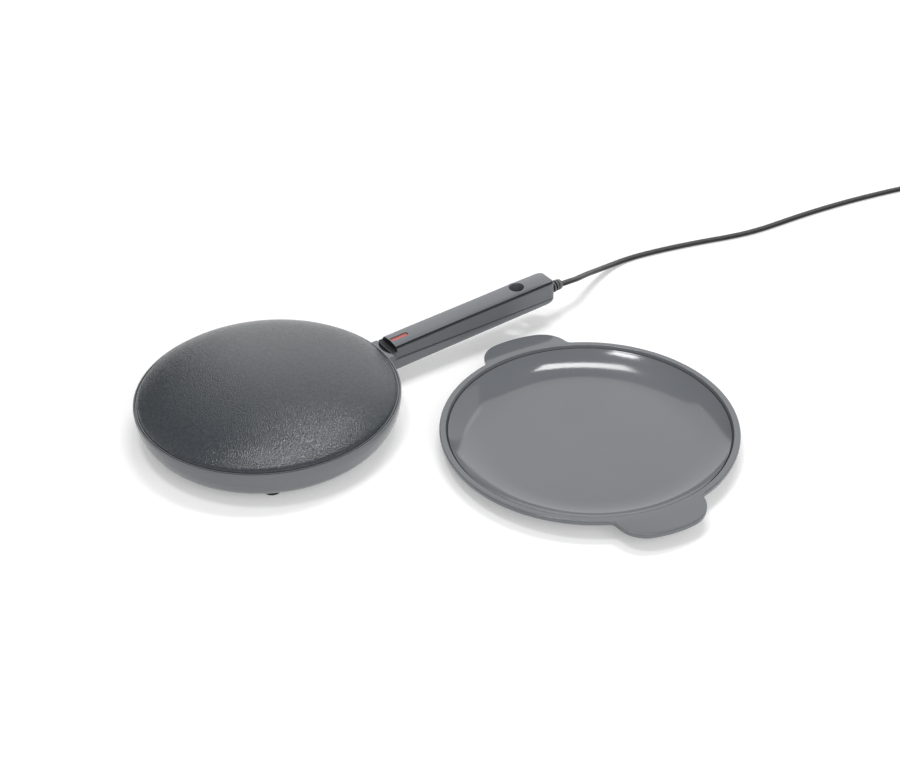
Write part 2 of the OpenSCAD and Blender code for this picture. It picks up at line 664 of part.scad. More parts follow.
// outline of the lens slot, drawn in by g, from the slot's near end
function slot_outline(g) = outline([[g, -slot_w/2 + g, 0.6], [slot_l - g, -slot_w/2 + g, (slot_w - 2*g)/2.1],
    [slot_l - g, slot_w/2 - g, (slot_w - 2*g)/2.1], [g, slot_w/2 - g, 0.6]]);
lens_foot = -lens_sink - lens_t;
seat_t = 1;
seat_w = 0.8;
module at_slot(w) translate([slot_x, 0, crown_h(slot_x)]) rotate([0, -handle_pitch, 0])
    translate([0, 0, w]) children();

module handle_cover() color("#8f9195") at_plate() difference() {
    union() {
        difference() {
            intersection() { handle_body(rim_r, 0, 0); above_parting(); across_handle() cover_profile(); }
            intersection() {
                handle_body(rim_r, 0, shell_t);
                above_parting(parting_h - 1);
                translate([shell_t, 0, -0.5]) across_handle() cover_profile();
            }
        }
        for (x = handle_screw_x) translate([x, 0, parting_h])
            cylinder(d = screw_boss_d, h = crown_h(x) - parting_h - 1, $fn = 48);
        translate([hole_x, 0, parting_h]) cylinder(d = sleeve_d, h = crown_h(hole_x) - parting_h - 1);
        translate([cradle_x, -cradle_w/2, parting_h])
            cube([cradle_t, cradle_w, crown_h(cradle_x) - parting_h - crown_rise - 1]);
        // frame under the crown that the lens sits in
        at_slot(lens_foot - seat_t) linear_extrude(lens_t + seat_t) polygon(outline([
            [-1.2, -slot_w/2 - 1.5, 1], [slot_l + 1.5, -slot_w/2 - 1.5, 1],
            [slot_l + 1.5, slot_w/2 + 1.5, 1], [-1.2, slot_w/2 + 1.5, 1]]));
    }
    at_slot(lens_foot) linear_extrude(rim_h) polygon(slot_outline(0));
    at_slot(lens_foot - seat_t - overlap) linear_extrude(2*overlap + seat_t) polygon(slot_outline(seat_w));
    for (x = handle_screw_x) translate([x, 0, parting_h - overlap])
        cylinder(d = handle_screw_d + 2*slip, h = screw_tip(x) - parting_h + overlap + 0.5, $fn = 32);
    translate([hole_x, 0, 0]) cylinder(d = hole_d, h = 2*rim_h);
    relief_port(relief_groove_d + 2*fit);
}

module indicator_lens() color("#d8453e") at_plate() at_slot(lens_foot)
    linear_extrude(lens_t) polygon(slot_outline(lens_gap));

// glass lamp lying under the lens
module neon_lamp() color("#e9b08c") at_plate() at_slot(lens_foot - seat_t - neon_d/2 - fit)
    translate([2, 0, 0]) rotate([0, 90, 0]) {
        cylinder(d = neon_d - 1, h = slot_l - 4, $fn = 32);
        translate([0, 0, 1]) cylinder(d = neon_d, h = slot_l - 6, $fn = 32);
    }

module base_screws() color("#b5b7ba") at_plate() ring(base_screw_r, base_screw_angles)
    screw(base_screw_d, base_head_d, base_head_h, foot_h + base_sink, dome_under(base_screw_r) - 2);

module handle_screws() color("#b5b7ba") at_plate() for (x = handle_screw_x) translate([x, 0, 0])
    screw(handle_screw_d, handle_head_d, handle_head_h, head_seat(x), screw_tip(x));

// disc with a stem through the floor and a barb above it
module rubber_feet() color("#2b2b2c") at_plate() ring(foot_r, foot_angles)
    rotate_extrude($fn = 64) polygon(outline([
        [0, 0, 0], [foot_d/2, 0, 1.2], [foot_d/2, foot_h, 0], [foot_stem_d/2, foot_h, 0],
        [foot_stem_d/2, floor_top, 0], [foot_stem_d/2 + 1, floor_top, 0],
        [foot_stem_d/2 - 0.6, floor_top + 2.4, 0], [0, floor_top + 2.4, 0]], 4));

// ---- strain relief, clamp and wires

relief_x0 = handle_reach - relief_inner_l;
bow_fall = end_bow*pow(relief_flange_d/handle_w, 2);
relief_wall_x = handle_reach - end_lean - shell_t - bow_fall - fit;
relief_out_l = relief_l - end_lean - fit;
slot_pitch = relief_l/4;
module strain_relief() color("#3c3e41") at_plate() translate([0, 0, relief_h]) rotate([0, 90, 0])
difference() {
    union() {
        translate([0, 0, relief_x0]) cylinder(d = relief_groove_d, h = relief_tip_x - relief_x0 - 2, $fn = 48);
        translate([0, 0, relief_wall_x - relief_flange_t])
            cylinder(d = relief_flange_d, h = relief_flange_t, $fn = 48);
        translate([0, 0, relief_tip_x - relief_out_l]) rotate_extrude($fn = 48) polygon(outline([
            [0, 0, 0], [relief_d/2, 0, 0.6], [relief_tip_d/2, relief_out_l, 1],
            [0, relief_out_l, 0]], 4));
    }
    // pairs of cuts, above and below then left and right, that let the sleeve bend
    for (i = [1:3]) for (side = [0, 180]) rotate(side + (i % 2)*90)
        translate([relief_d/4, -relief_d, handle_reach + i*slot_pitch - 0.5]) cube([relief_d, 2*relief_d, 1.1]);
}

// tube swept along points, with an oval section w wide and t thick that stays level
sweep_sides = 10;
function tangent(p, i) = unit(p[min(i + 1, len(p) - 1)] - p[max(i - 1, 0)]);
function ring_points(p, i, w, t) =
    let (d = tangent(p, i), side = unit(cross([0, 0, 1], d)), up = cross(d, side))
    [for (k = [0:sweep_sides - 1]) let (a = 360*k/sweep_sides) p[i] + side*w/2*cos(a) + up*t/2*sin(a)];
module sweep(p, w, t) {
    n = sweep_sides;
    last = len(p) - 1;
    polyhedron(
        points = [for (i = [0:last]) each ring_points(p, i, w, t)],
        faces = concat(
            [[for (k = [0:n - 1]) k]], [[for (k = [n - 1:-1:0]) last*n + k]],
            [for (i = [0:last - 1]) for (k = [0:n - 1]) each [
                [i*n + k, (i + 1)*n + k, i*n + (k + 1) % n],
                [i*n + (k + 1) % n, (i + 1)*n + k, (i + 1)*n + (k + 1) % n]]]));
}

// wires run beside the hanging hole's sleeve and the screw bosses, then into the round housing
wire_d = 1.7;
wire_side = sleeve_d/2 + 0.25 + wire_d/2;
function handle_run(side) = [
    [relief_x0 - slip, side*3, relief_h], [relief_x0 - 1.5, side*3, relief_h], [relief_x0 - 5, side*5, 25.4],
    [hole_x + 12, side*wire_side, 24.4], [hole_x, side*wire_side, 23.6], [hole_x - 12, side*wire_side, 22.8],
    [hole_x - 40, side*7, 21], [rim_r + 48, side*6.6, 20], [rim_r + 18, side*5.6, 19.4], [rim_r, side*5, 18.4],
    [rim_r - 15.6, side*7.6, 17.4], [rim_r - 27.6, side*13, 18.4]];
in_z = rib_bottom - 10.6;       // height at which the wires come into the round housing
pin_end_z = rib_bottom - 4;
live_route = concat(handle_run(1), [[element_r + 4, 18, in_z], [element_r - 4, 22, in_z + 4.4],
    [element_r - 11, 24, rib_bottom - 2.6], [fuse_x - 3.2, 22.8, rib_bottom + 0.4],
    [fuse_x - 2.2, 20.8, fuse_z], [fuse_x - 0.6, 19, fuse_z], [fuse_x, 17.4, fuse_z],
    [fuse_x, fuse_end + slip, fuse_z]]);
neutral_route = concat(handle_run(-1), [[element_r + 4, -21, in_z - 1.2], [element_r - 2, -28, in_z + 1.8],
    [pin_x + 5, -pin_y, pin_end_z - 1.2], [pin_x + pin_d/2 + 1.4, -pin_y, pin_end_z],
    [pin_x + pin_d/2 + slip, -pin_y, pin_end_z]]);
blade_high_end = blade_high_x - 1.7;
blade_low_end = blade_low_x - 1.6;
link_route = [
    [fuse_x, -fuse_end - slip, fuse_z], [fuse_x, -17.4, fuse_z], [fuse_x - 1.2, -18.8, fuse_z - 0.8],
    [fuse_x - 3, -18.6, fuse_z - 2.2], [blade_high_end, -15.4, rib_bottom - 1.6],
    [blade_high_end, -10, rib_bottom - 2.4], [blade_high_end, -2, blade_high_z + blade_t + wire_d/2]];
bridge_route = [
    [blade_low_end, 1, blade_low_z + blade_t + wire_d/2], [blade_low_end + 1, 8, blade_low_z + 1.8],
    [blade_low_end + 2.4, 18, blade_low_z + 1.4], [pin_x, 26, pin_end_z - 1],
    [pin_x, pin_y - pin_d/2 - 1.6, pin_end_z], [pin_x, pin_y - pin_d/2 - slip, pin_end_z]];
module live_wire() color("#3a3a3a") at_plate() sweep(live_route, wire_d, wire_d);
module neutral_wire() color("#e6e6e2") at_plate() sweep(neutral_route, wire_d, wire_d);
module link_wires() color("#b8543a") at_plate() {
    sweep(link_route, wire_d, wire_d);
    sweep(bridge_route, wire_d, wire_d);
}

module power_cord() color("#3e4043") at_cord() {
    sweep(cord_route, cord_w, cord_t);
    sweep(tail_route, cord_w, cord_t);
}

module cord_coil() color("#3e4043") at_cord() translate([coil_x, coil_y, 0]) rotate_extrude()
    polygon(outline([
        [coil_d/2 - cord_w/2 - 0.2, 0, 1.5], [coil_d/2 + cord_w/2 + 0.2, 0, 1.5],
        [coil_d/2 + cord_w/2 + 0.2, coil_h, 1.5], [coil_d/2 - cord_w/2 - 0.2, coil_h, 1.5]], 4));

// strap round the turns of the coil
tie_t = 0.8;
tie_w = 5;
module cord_tie() color("#26272a") at_cord() translate([coil_x - coil_d/2, coil_y, 0]) difference() {
    translate([-cord_w/2 - 0.4 - tie_t, -tie_w/2, 0])
        cube([cord_w + 0.8 + 2*tie_t, tie_w, coil_h + 0.2 + tie_t]);
    translate([-cord_w/2 - 0.4, -tie_w, -overlap]) cube([cord_w + 0.8, 2*tie_w, coil_h + 0.2 + overlap]);
}

// ---- plug, lying flat with its pins away from the cord

module at_plug() at_cord() translate([plug_x, plug_y, plug_t/2]) rotate(-90) children();

module plug_body() color("#3a3c3f") at_plug() difference() {
    intersection() {
        translate([0, 0, -plug_t/2]) linear_extrude(plug_t) polygon(outline([
            [0, -cord_w/2 - 1.2, 1], [9, -plug_w/2 + 4, 6], [plug_l, -plug_w/2, 1.5], [plug_l, plug_w/2, 1.5],
            [9, plug_w/2 - 4, 6], [0, cord_w/2 + 1.2, 1]]));
        rotate([90, 0, 0]) translate([0, 0, -plug_w]) linear_extrude(2*plug_w) polygon(outline([
            [0, -cord_t/2 - 1.4, 1], [8, -plug_t/2, 5], [plug_l, -plug_t/2, 1.5], [plug_l, plug_t/2, 1.5],
            [8, plug_t/2, 5], [0, cord_t/2 + 1.4, 1]]));
    }
    for (side = [-1, 1]) translate([plug_l*0.55, side*(plug_w/2 + 24), 0])
        cylinder(r = 25, h = plug_t + 2, center = true);
}

pin_w = 6.3;
pin_t = 1.5;
module plug_pins() color("#c8c4b4") at_plug() for (side = [-1, 1])
    translate([plug_l, side*pin_pitch/2, 0]) rotate([90, 0, 0]) translate([0, 0, -pin_t/2]) difference() {
        linear_extrude(pin_t) polygon(outline([[0, -pin_w/2, 0], [pin_l, -pin_w/2, 1.6], [pin_l, pin_w/2, 1.6],
            [0, pin_w/2, 0]]));
        translate([pin_l - 4.5, 0, -overlap]) cylinder(d = 3.2, h = pin_t + 2*overlap, $fn = 32);
    }

// ---- batter dish

bowl_steps = 10;
function plain(points) = [for (p = points) [p.x, p.y, 0]];
dish_section = outline(concat(
    [[0, dish_floor_h, 0]], plain(arc(bowl_c, bowl_r, -90, -90 + bowl_slope, bowl_steps)),
    [[flange_r - band_w, dish_h, 0.4], [flange_r, dish_h, 1], [flange_r, dish_h - flange_edge, 0.4],
    [flange_r - 1.9, dish_h - flange_edge, 0.4], [flange_r - 1.9, dish_h - dish_t, 0.6]],
    plain(arc(bowl_c, bowl_r + dish_t, -90 + bowl_slope, -90, bowl_steps)),
    [[foot_ring_d/2 + 0.4, foot_ring_h, 0], [foot_ring_d/2, 0, 0], [foot_ring_d/2 - 3.6, 0, 0],
    [foot_ring_d/2 - 4, foot_ring_h, 0], [0, foot_ring_h, 0]]));

// height of the ear's surface, which is level with the flange and then falls
ear_knee = flange_r - 0.9;
ear_span = flange_r + ear_reach + 4;
function ear_top(r) = dish_h - max(0, r - ear_knee)*tan(ear_fall);

// slab under that surface from radius r0, between the depths t0 and t1 below it
module ear_slab(r0, t0, t1) let (r = r0 < ear_knee ? [r0, ear_knee, ear_span] : [r0, ear_span])
    rotate_extrude($fn = 180) polygon(concat(
        [for (x = r) [x, ear_top(x) - t0]], [for (i = [len(r) - 1:-1:0]) [r[i], ear_top(r[i]) - t1]]));

// ear with a hollow underside that leaves its edge as deep as the flange's
ear_root = flange_r - 1.5;
ear_lip = 1.9;
module ear() difference() {
    intersection() {
        ear_slab(ear_root, 0, flange_edge - 0.2);
        linear_extrude(2*dish_h) polygon(ear_outline(0));
    }
    intersection() {
        ear_slab(flange_r + 1, dish_t, dish_t + 5);
        linear_extrude(2*dish_h) polygon(ear_outline(ear_lip));
    }
}

module batter_dish() color("#8b8c90") at_dish() union() {
    rotate_extrude($fn = 180) polygon(dish_section);
    for (side = [0, 180]) rotate(ear_turn + side) ear();
}

cooking_plate();
bezel_ring();
plate_seal();
heating_element();
element_clamps();
clamp_screws();
heat_shield();
thermostat();
thermostat_screw();
thermal_fuse();
base_housing();
handle_cover();
indicator_lens();
neon_lamp();
base_screws();
handle_screws();
rubber_feet();
strain_relief();
live_wire();
neutral_wire();
link_wires();
power_cord();
cord_coil();
cord_tie();
plug_body();
plug_pins();
batter_dish();
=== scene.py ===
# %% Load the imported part
import json
import math

import bmesh
import bpy
import numpy as np
from mathutils import Matrix, Vector

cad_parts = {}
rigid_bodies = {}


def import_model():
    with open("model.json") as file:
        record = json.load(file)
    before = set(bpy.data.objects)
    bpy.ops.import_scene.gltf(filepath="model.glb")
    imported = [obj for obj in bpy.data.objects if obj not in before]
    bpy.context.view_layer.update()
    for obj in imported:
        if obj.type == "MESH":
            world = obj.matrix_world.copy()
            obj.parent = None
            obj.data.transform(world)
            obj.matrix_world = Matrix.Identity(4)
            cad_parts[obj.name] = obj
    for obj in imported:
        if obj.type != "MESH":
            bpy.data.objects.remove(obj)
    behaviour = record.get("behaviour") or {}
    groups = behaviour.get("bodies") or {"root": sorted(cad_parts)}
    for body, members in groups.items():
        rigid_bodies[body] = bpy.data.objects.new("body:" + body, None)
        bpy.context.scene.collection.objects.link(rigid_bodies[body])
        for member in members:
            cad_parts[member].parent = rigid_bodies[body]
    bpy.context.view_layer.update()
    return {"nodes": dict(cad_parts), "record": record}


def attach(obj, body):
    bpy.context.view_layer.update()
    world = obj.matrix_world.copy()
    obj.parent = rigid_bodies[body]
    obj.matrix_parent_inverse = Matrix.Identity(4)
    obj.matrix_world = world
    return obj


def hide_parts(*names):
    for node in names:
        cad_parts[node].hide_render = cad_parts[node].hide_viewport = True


for leftover in list(bpy.data.objects):
    bpy.data.objects.remove(leftover)
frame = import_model()
nodes = frame["nodes"]

# %% [markdown]
# # A hand-held crepe maker and its batter dish
#
# The maker is a domed cooking plate on a round housing with a straight handle. Its user turns it over,
# dips the dome into the batter, turns it back and lets the thin crepe bake on top. The dish is a shallow
# round tray with two ears.
#
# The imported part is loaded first. Its solids have the true sizes and carry the joints. What they lack is the
# fine form and the finish of the real pieces, and that is what the cells below add. A piece that is shown in
# finer form rides on the same body as its solid and takes its place in the picture.
#
# All sizes below are millimetres from the middle of the cooking plate, with X along the handle. `at` moves
# a point to the part's own frame, in metres.

# %% Where things are
PLATE = np.array([-98.6, 93.49, 0.0])
DISH = PLATE + [186.3, -158.1, 0.0]


def at(points, origin=PLATE):
    """Points in millimetres from the plate's or the dish's middle, as metres in the part's frame."""
    return (np.asarray(points, float) + origin) / 1000.0


print("plate's middle", at([0, 0, 0]), "dish's middle", at([0, 0, 0], DISH))

# %% [markdown]
# ## The camera
#
# A long lens from about 1.4 m keeps the two round rims from stretching. It looks down at 35 degrees, and it
# is rolled by about one degree. The camera could be aimed with a Track To constraint, but a matrix built from
# its right, up and forward directions gives `level` and `away` too, and the lamps are placed with those.

# %% Camera
TARGET = Vector((0.04515, 0.06035, 0.0))
TURN, PITCH, ROLL, DISTANCE = math.radians(33.0), math.radians(35.36), math.radians(-1.22), 1.419
level = Vector((math.cos(TURN), -math.sin(TURN), 0.0))
away = Vector((math.sin(TURN), math.cos(TURN), 0.0))
forward = math.cos(PITCH) * away - math.sin(PITCH) * Vector((0, 0, 1))
upright = math.sin(PITCH) * away + math.cos(PITCH) * Vector((0, 0, 1))
right = math.cos(ROLL) * level + math.sin(ROLL) * upright
up = math.cos(ROLL) * upright - math.sin(ROLL) * level

lens = bpy.data.cameras.new("camera")
FOCAL_LENGTH, SENSOR_WIDTH = 71.64, 36.0
lens.lens, lens.sensor_width = FOCAL_LENGTH, SENSOR_WIDTH
camera = bpy.data.objects.new("camera", lens)
bpy.context.scene.collection.objects.link(camera)
camera.matrix_world = Matrix((
    (right.x, up.x, -forward.x, 0), (right.y, up.y, -forward.y, 0),
    (right.z, up.z, -forward.z, 0), (0, 0, 0, 1)))
camera.matrix_world.translation = TARGET - DISTANCE * forward
bpy.context.scene.camera = camera
print("camera at", [round(v, 3) for v in camera.matrix_world.translation])

# %% [markdown]
# ## Writing node trees as sums
#
# Materials and Geometry Nodes are both trees of small boxes. `Tree.node` adds one box and fills its sockets.
# What it gives back is a `Socket`, and plus, minus, times and so on between sockets add the Math boxes.

# %% Sockets that can be added and multiplied
class Socket:
    """One output of a node. Python's signs on it add Math nodes to its tree."""

    def __init__(self, tree, plug):
        self.tree, self.plug = tree, plug

    def math(self, operation, *others):
        values = dict(enumerate((self,) + others))
        return self.tree.node("ShaderNodeMath", {"operation": operation}, values)

    def swapped(self, operation, other):
        return self.tree.node("ShaderNodeMath", {"operation": operation}, {0: other, 1: self})

    def __add__(self, other): return self.math("ADD", other)
    def __sub__(self, other): return self.math("SUBTRACT", other)
    def __mul__(self, other): return self.math("MULTIPLY", other)
    def __truediv__(self, other): return self.math("DIVIDE", other)
    def __pow__(self, other): return self.math("POWER", other)
    def __mod__(self, other): return self.math("MODULO", other)
    def __radd__(self, other): return self.swapped("ADD", other)
    def __rsub__(self, other): return self.swapped("SUBTRACT", other)
    def __rmul__(self, other): return self.swapped("MULTIPLY", other)
    def __rtruediv__(self, other): return self.swapped("DIVIDE", other)
    def __rpow__(self, other): return self.swapped("POWER", other)
    def __rmod__(self, other): return self.swapped("MODULO", other)


class Tree:
    """A node tree, and the one way in which this script adds nodes to it."""

    def __init__(self, tree):
        self.tree = tree

    def node(self, kind, settings=None, values=None, out=0):
        box = self.tree.nodes.new(kind)
        for name, value in (settings or {}).items():
            setattr(box, name, value)
        for name, value in (values or {}).items():
            if isinstance(value, Socket):
                self.tree.links.new(value.plug, box.inputs[name])
            elif value is not None:
                box.inputs[name].default_value = value
        return Socket(self, box.outputs[out]) if len(box.outputs) else box


print("node writer ready")

# %% [markdown]
# ## The cord
#
# A flat twin lead: two cores side by side in one sheath, 6 mm wide and 3.4 mm thick, with a shallow furrow
# between the cores. It sags from the strain relief to the table, runs off in one easy bend, and the rest is
# put away in a small coil. Its line is given by a few points, and a smooth curve through them is cut into
# short steps. It could be a bevelled curve object, but that has no furrow, so a small Geometry Nodes tree
# sweeps the real section along the line.

# %% The cord's line
RELIEF_TIP = 274.0
ROUTE = [
    (0, 0, 27.6), (7, 0.3, 27), (14, 1.5, 25.8), (22, 4, 23.6), (31, 8.5, 20.4), (42, 14.5, 16),
    (56, 21, 10.8), (69, 26, 6.8), (81, 29.6, 3.9), (94, 31.6, 2.2), (108, 31, 1.8), (131, 27, 1.8),
    (154, 21.6, 1.8), (176, 15.6, 1.8), (196, 9.6, 1.8), (214, 5.4, 1.8), (231, 3, 1.8), (246, 2, 1.8),
    (271, 0.6, 1.8), (296, -1.6, 1.8), (326, -5.4, 1.8), (356, -10.6, 1.8), (380, -15.6, 1.8),
    (402, -20.8, 1.8), (420, -25.2, 1.8), (432, -28, 1.8)]
COIL_X, COIL_Y, COIL_R, COIL_TURNS = 441.0, -62.0, 33.0, 2.25
COIL_LOW, COIL_HIGH = 1.8, 10.0
coil_turns = [
    (COIL_X + COIL_R * math.cos(a), COIL_Y + COIL_R * math.sin(a), COIL_LOW + (COIL_HIGH - COIL_LOW) * s)
    for s in np.linspace(0.0, 1.0, 55) for a in [math.pi / 2 - 2 * math.pi * COIL_TURNS * s]]
TAIL = [(474, -66, 9.95), (473.2, -78, 9.2), (472, -90, 7.8), (472, -102, 6.7), (472, -114, 6.5)]


def smooth_line(points, step=2.5):
    """A smooth curve through the points, cut into steps of about that length."""
    p = np.asarray(points, float)
    p = np.vstack([2 * p[0] - p[1], p, 2 * p[-1] - p[-2]])
    line = []
    for a, b, c, d in zip(p, p[1:], p[2:], p[3:]):
        t = [0.0]
        for u, v in ((a, b), (b, c), (c, d)):
            t.append(t[-1] + max(np.linalg.norm(v - u), 1e-6) ** 0.5)
        for s in np.linspace(t[1], t[2], max(2, round(np.linalg.norm(c - b) / step)), endpoint=False):
            ab = ((t[1] - s) * a + s * b) / t[1]
            bc = ((t[2] - s) * b + (s - t[1]) * c) / (t[2] - t[1])
            cd = ((t[3] - s) * c + (s - t[2]) * d) / (t[3] - t[2])
            abc = ((t[2] - s) * ab + s * bc) / t[2]
            bcd = ((t[3] - s) * bc + (s - t[1]) * cd) / (t[3] - t[1])
            line.append(((t[2] - s) * abc + (s - t[1]) * bcd) / (t[2] - t[1]))
    return np.array(line + [p[-2]])


cord_line = at(smooth_line(ROUTE + coil_turns + TAIL) + [RELIEF_TIP, 0, 0])


# %% [markdown]
# ## From a drawing to a plain mesh
#
# A piece that follows a rule is drawn as a line or a list of points, and a Geometry Nodes tree does the rest.
# The tree could stay on the object as a live modifier, but a plain mesh is safer to hand on, so `Maker.make`
# sets the tree's inputs, takes the evaluated mesh and throws the drawing away. Doubles are merged and the
# faces turned outwards, because a swept or turned shape can come out inside out.

# %% Small helpers for meshes
def new_object(name, mesh):
    piece = bpy.data.objects.new(name, mesh)
    bpy.context.scene.collection.objects.link(piece)
    return piece


def mesh_from(name, points, edges=(), faces=()):
    mesh = bpy.data.meshes.new(name)
    mesh.from_pydata([tuple(p) for p in points], list(edges), [tuple(f) for f in faces])
    mesh.update()
    return new_object(name, mesh)


WELD = 1e-6


def tidy_mesh(piece, smooth):
    """Merges doubles and points the faces outwards, and shades smooth where the bend is under that angle."""
    work = bmesh.new()
    work.from_mesh(piece.data)
    bmesh.ops.remove_doubles(work, verts=work.verts, dist=WELD)
    bmesh.ops.dissolve_degenerate(work, edges=work.edges, dist=WELD / 10)
    bmesh.ops.recalc_face_normals(work, faces=work.faces)
    work.to_mesh(piece.data)
    work.free()
    piece.data.shade_smooth()
    piece.data.set_sharp_from_angle(angle=math.radians(smooth))
    return piece


# %% A tree that turns a drawing into a piece
class Maker(Tree):
    """A Geometry Nodes tree with named inputs, which turns a drawn line or mesh into a finished piece."""

    def __init__(self, name, **inputs):
        super().__init__(bpy.data.node_groups.new(name, "GeometryNodeTree"))
        face = self.tree.interface
        face.new_socket("Drawing", in_out="INPUT", socket_type="NodeSocketGeometry")
        kinds = {int: "NodeSocketInt", float: "NodeSocketFloat", bpy.types.Material: "NodeSocketMaterial"}
        for key, kind in inputs.items():
            face.new_socket(key, in_out="INPUT", socket_type=kinds[kind])
        face.new_socket("Piece", in_out="OUTPUT", socket_type="NodeSocketGeometry")
        self.start = self.tree.nodes.new("NodeGroupInput")
        self.sockets = {i.name: i.identifier for i in face.items_tree if i.in_out == "INPUT"}

    def given(self, name):
        return Socket(self, self.start.outputs[name])

    def end(self, geometry, material):
        real = self.node("GeometryNodeRealizeInstances", values={"Geometry": geometry})
        made = self.node("GeometryNodeSetMaterial", values={"Geometry": real, "Material": material})
        self.tree.links.new(made.plug, self.tree.nodes.new("NodeGroupOutput").inputs[0])

    def make(self, drawing, name, smooth, **values):
        """Runs the tree on the drawing with these input values, and keeps the result as a plain mesh."""
        run = drawing.modifiers.new("make", "NODES")
        run.node_group = self.tree
        for key, value in values.items():
            run[self.sockets[key]] = value
        graph = bpy.context.evaluated_depsgraph_get()
        mesh = bpy.data.meshes.new_from_object(drawing.evaluated_get(graph), depsgraph=graph)
        mesh.name = name
        bpy.data.objects.remove(drawing)
        piece = tidy_mesh(new_object(name, mesh), smooth)
        print(name, "made:", len(piece.data.polygons), "faces")
        return piece


# %% [markdown]
# ## What all finishes share
#
# Each finish is one Principled shader. Its constants stand on the sockets, and only what changes over the
# surface comes in through nodes: a blend of two shades, a roughness that drifts, and a bump.

# %% The shared start of a finish
def finish_tree(name, **constants):
    """A new material with one Principled shader; constants go straight on its sockets."""
    material = bpy.data.materials.new(name)
    material.use_nodes = True
    material.node_tree.nodes.clear()
    tree = Tree(material.node_tree)
    shader = tree.tree.nodes.new("ShaderNodeBsdfPrincipled")
    for key, value in constants.items():
        shader.inputs[key.replace("_", " ")].default_value = value
    out = tree.tree.nodes.new("ShaderNodeOutputMaterial")
    tree.tree.links.new(shader.outputs[0], out.inputs["Surface"])
    tree.shader = shader
    tree.place = tree.node("ShaderNodeTexCoord", out=3)
    return material, tree


def feed(tree, **sources):
    for key, source in sources.items():
        tree.tree.links.new(source.plug, tree.shader.inputs[key.replace("_", " ")])


def noise(tree, scale, detail=2.0, place=None):
    return tree.node("ShaderNodeTexNoise", values={
        "Vector": place or tree.place, "Scale": scale, "Detail": detail})


def blend_colour(tree, amount, a, b):
    return tree.node("ShaderNodeMix", {"data_type": "RGBA"}, {0: amount, 6: (*a, 1.0), 7: (*b, 1.0)}, out=2)


def ramp(tree, value, low, high, start=0.0, end=1.0):
    """Value between start and end, as a number from low to high."""
    return tree.node("ShaderNodeMapRange", values={
        "Value": value, "From Min": start, "From Max": end, "To Min": low, "To Max": high})


def bumps(tree, height, depth, strength=1.0):
    return tree.node("ShaderNodeBump", values={"Height": height, "Distance": depth, "Strength": strength})


# %% [markdown]
# ## Moulded plastic
#
# The housing, handle and dish are moulded in a cool grey plastic, the dish with a higher gloss. Under a lamp
# such a moulding is never one even colour: the gloss varies a little with the flow of the plastic, and the
# skin has a very fine grain. Painted images could give that, but they need a layout on every piece. Noise in
# Object coordinates needs none, and two scales of it give the flow and the grain.

# %% Moulded plastic
def moulded(name, colour, gloss, grain=0.00001):
    material, tree = finish_tree(name, Specular_IOR_Level=0.5)
    flow = noise(tree, 9.0, 3.0)
    fine = noise(tree, 1500.0, 2.0)
    shade = blend_colour(tree, ramp(tree, flow, 0.0, 1.0, 0.3, 0.7),
                         [c * 0.96 for c in colour], [c * 1.04 for c in colour])
    feed(tree, Base_Color=shade, Roughness=ramp(tree, flow, gloss - 0.03, gloss + 0.03, 0.3, 0.7)
         + fine * 0.03, Normal=bumps(tree, fine, grain, 0.6))
    return material


housing_grey = moulded("housing_grey", (0.140, 0.148, 0.160), 0.17)
dish_grey = moulded("dish_grey", (0.138, 0.146, 0.158), 0.09, 0.000003)
print("moulded finishes:", housing_grey.name, "and", dish_grey.name)


# %% [markdown]
# ## The non-stick coating
#
# The coating is sprayed on and dries in fine rounded pebbles, which sparkle under a lamp. They could be cut
# into the mesh, but they are about a millimetre wide, and millions of faces would not look better than a
# Bump node. A Voronoi pattern gives the pebbles, one to a cell, and its smooth form rounds the valleys.

# %% Non-stick coating with its pebbled skin
PEBBLES_PER_METRE, PEBBLE_DEPTH = 1000.0, 0.00034


def pebbled(name, colour):
    material, tree = finish_tree(name)
    cells = tree.node("ShaderNodeTexVoronoi", {"feature": "SMOOTH_F1"}, {
        "Vector": tree.place, "Scale": PEBBLES_PER_METRE, "Smoothness": 0.4, "Randomness": 1.0})
    drift = noise(tree, 420.0, 2.0)
    shade = blend_colour(tree, ramp(tree, drift, 0.0, 1.0, 0.3, 0.7), [c * 0.85 for c in colour],
                         [c * 1.2 for c in colour])
    feed(tree, Base_Color=shade, Roughness=ramp(tree, noise(tree, 900.0), 0.17, 0.25, 0.3, 0.7),
         Normal=bumps(tree, (1.0 - cells) + drift * 0.25, PEBBLE_DEPTH, 0.6))
    return material


plate_coating = pebbled("plate_coating", (0.046, 0.052, 0.059))
print("coated finish:", plate_coating.name, "with pebbles of", 1000.0 / PEBBLES_PER_METRE, "mm")


# %% [markdown]
# ## Rubber, ceramic, wire and metal
#
# The cord, feet, seal and wires are soft or dull, with a skin that scatters the light. One function covers
# them, as they differ only in colour, dullness and the depth of the skin. Metal is drawn or rolled, so its
# roughness runs in streaks: the same noise, stretched along one axis by a Mapping node.

# %% Rubber, metal, ceramic and wires
def rubbery(name, colour, rough, scale=900.0, depth=0.00003):
    material, tree = finish_tree(name)
    skin = noise(tree, scale, 3.0)
    shade = blend_colour(tree, ramp(tree, noise(tree, 40.0), 0.0, 1.0, 0.3, 0.7),
                         [c * 0.85 for c in colour], [c * 1.15 for c in colour])
    feed(tree, Base_Color=shade, Roughness=ramp(tree, skin, rough - 0.06, rough + 0.06, 0.3, 0.7),
         Normal=bumps(tree, skin, depth, 0.7))
    return material


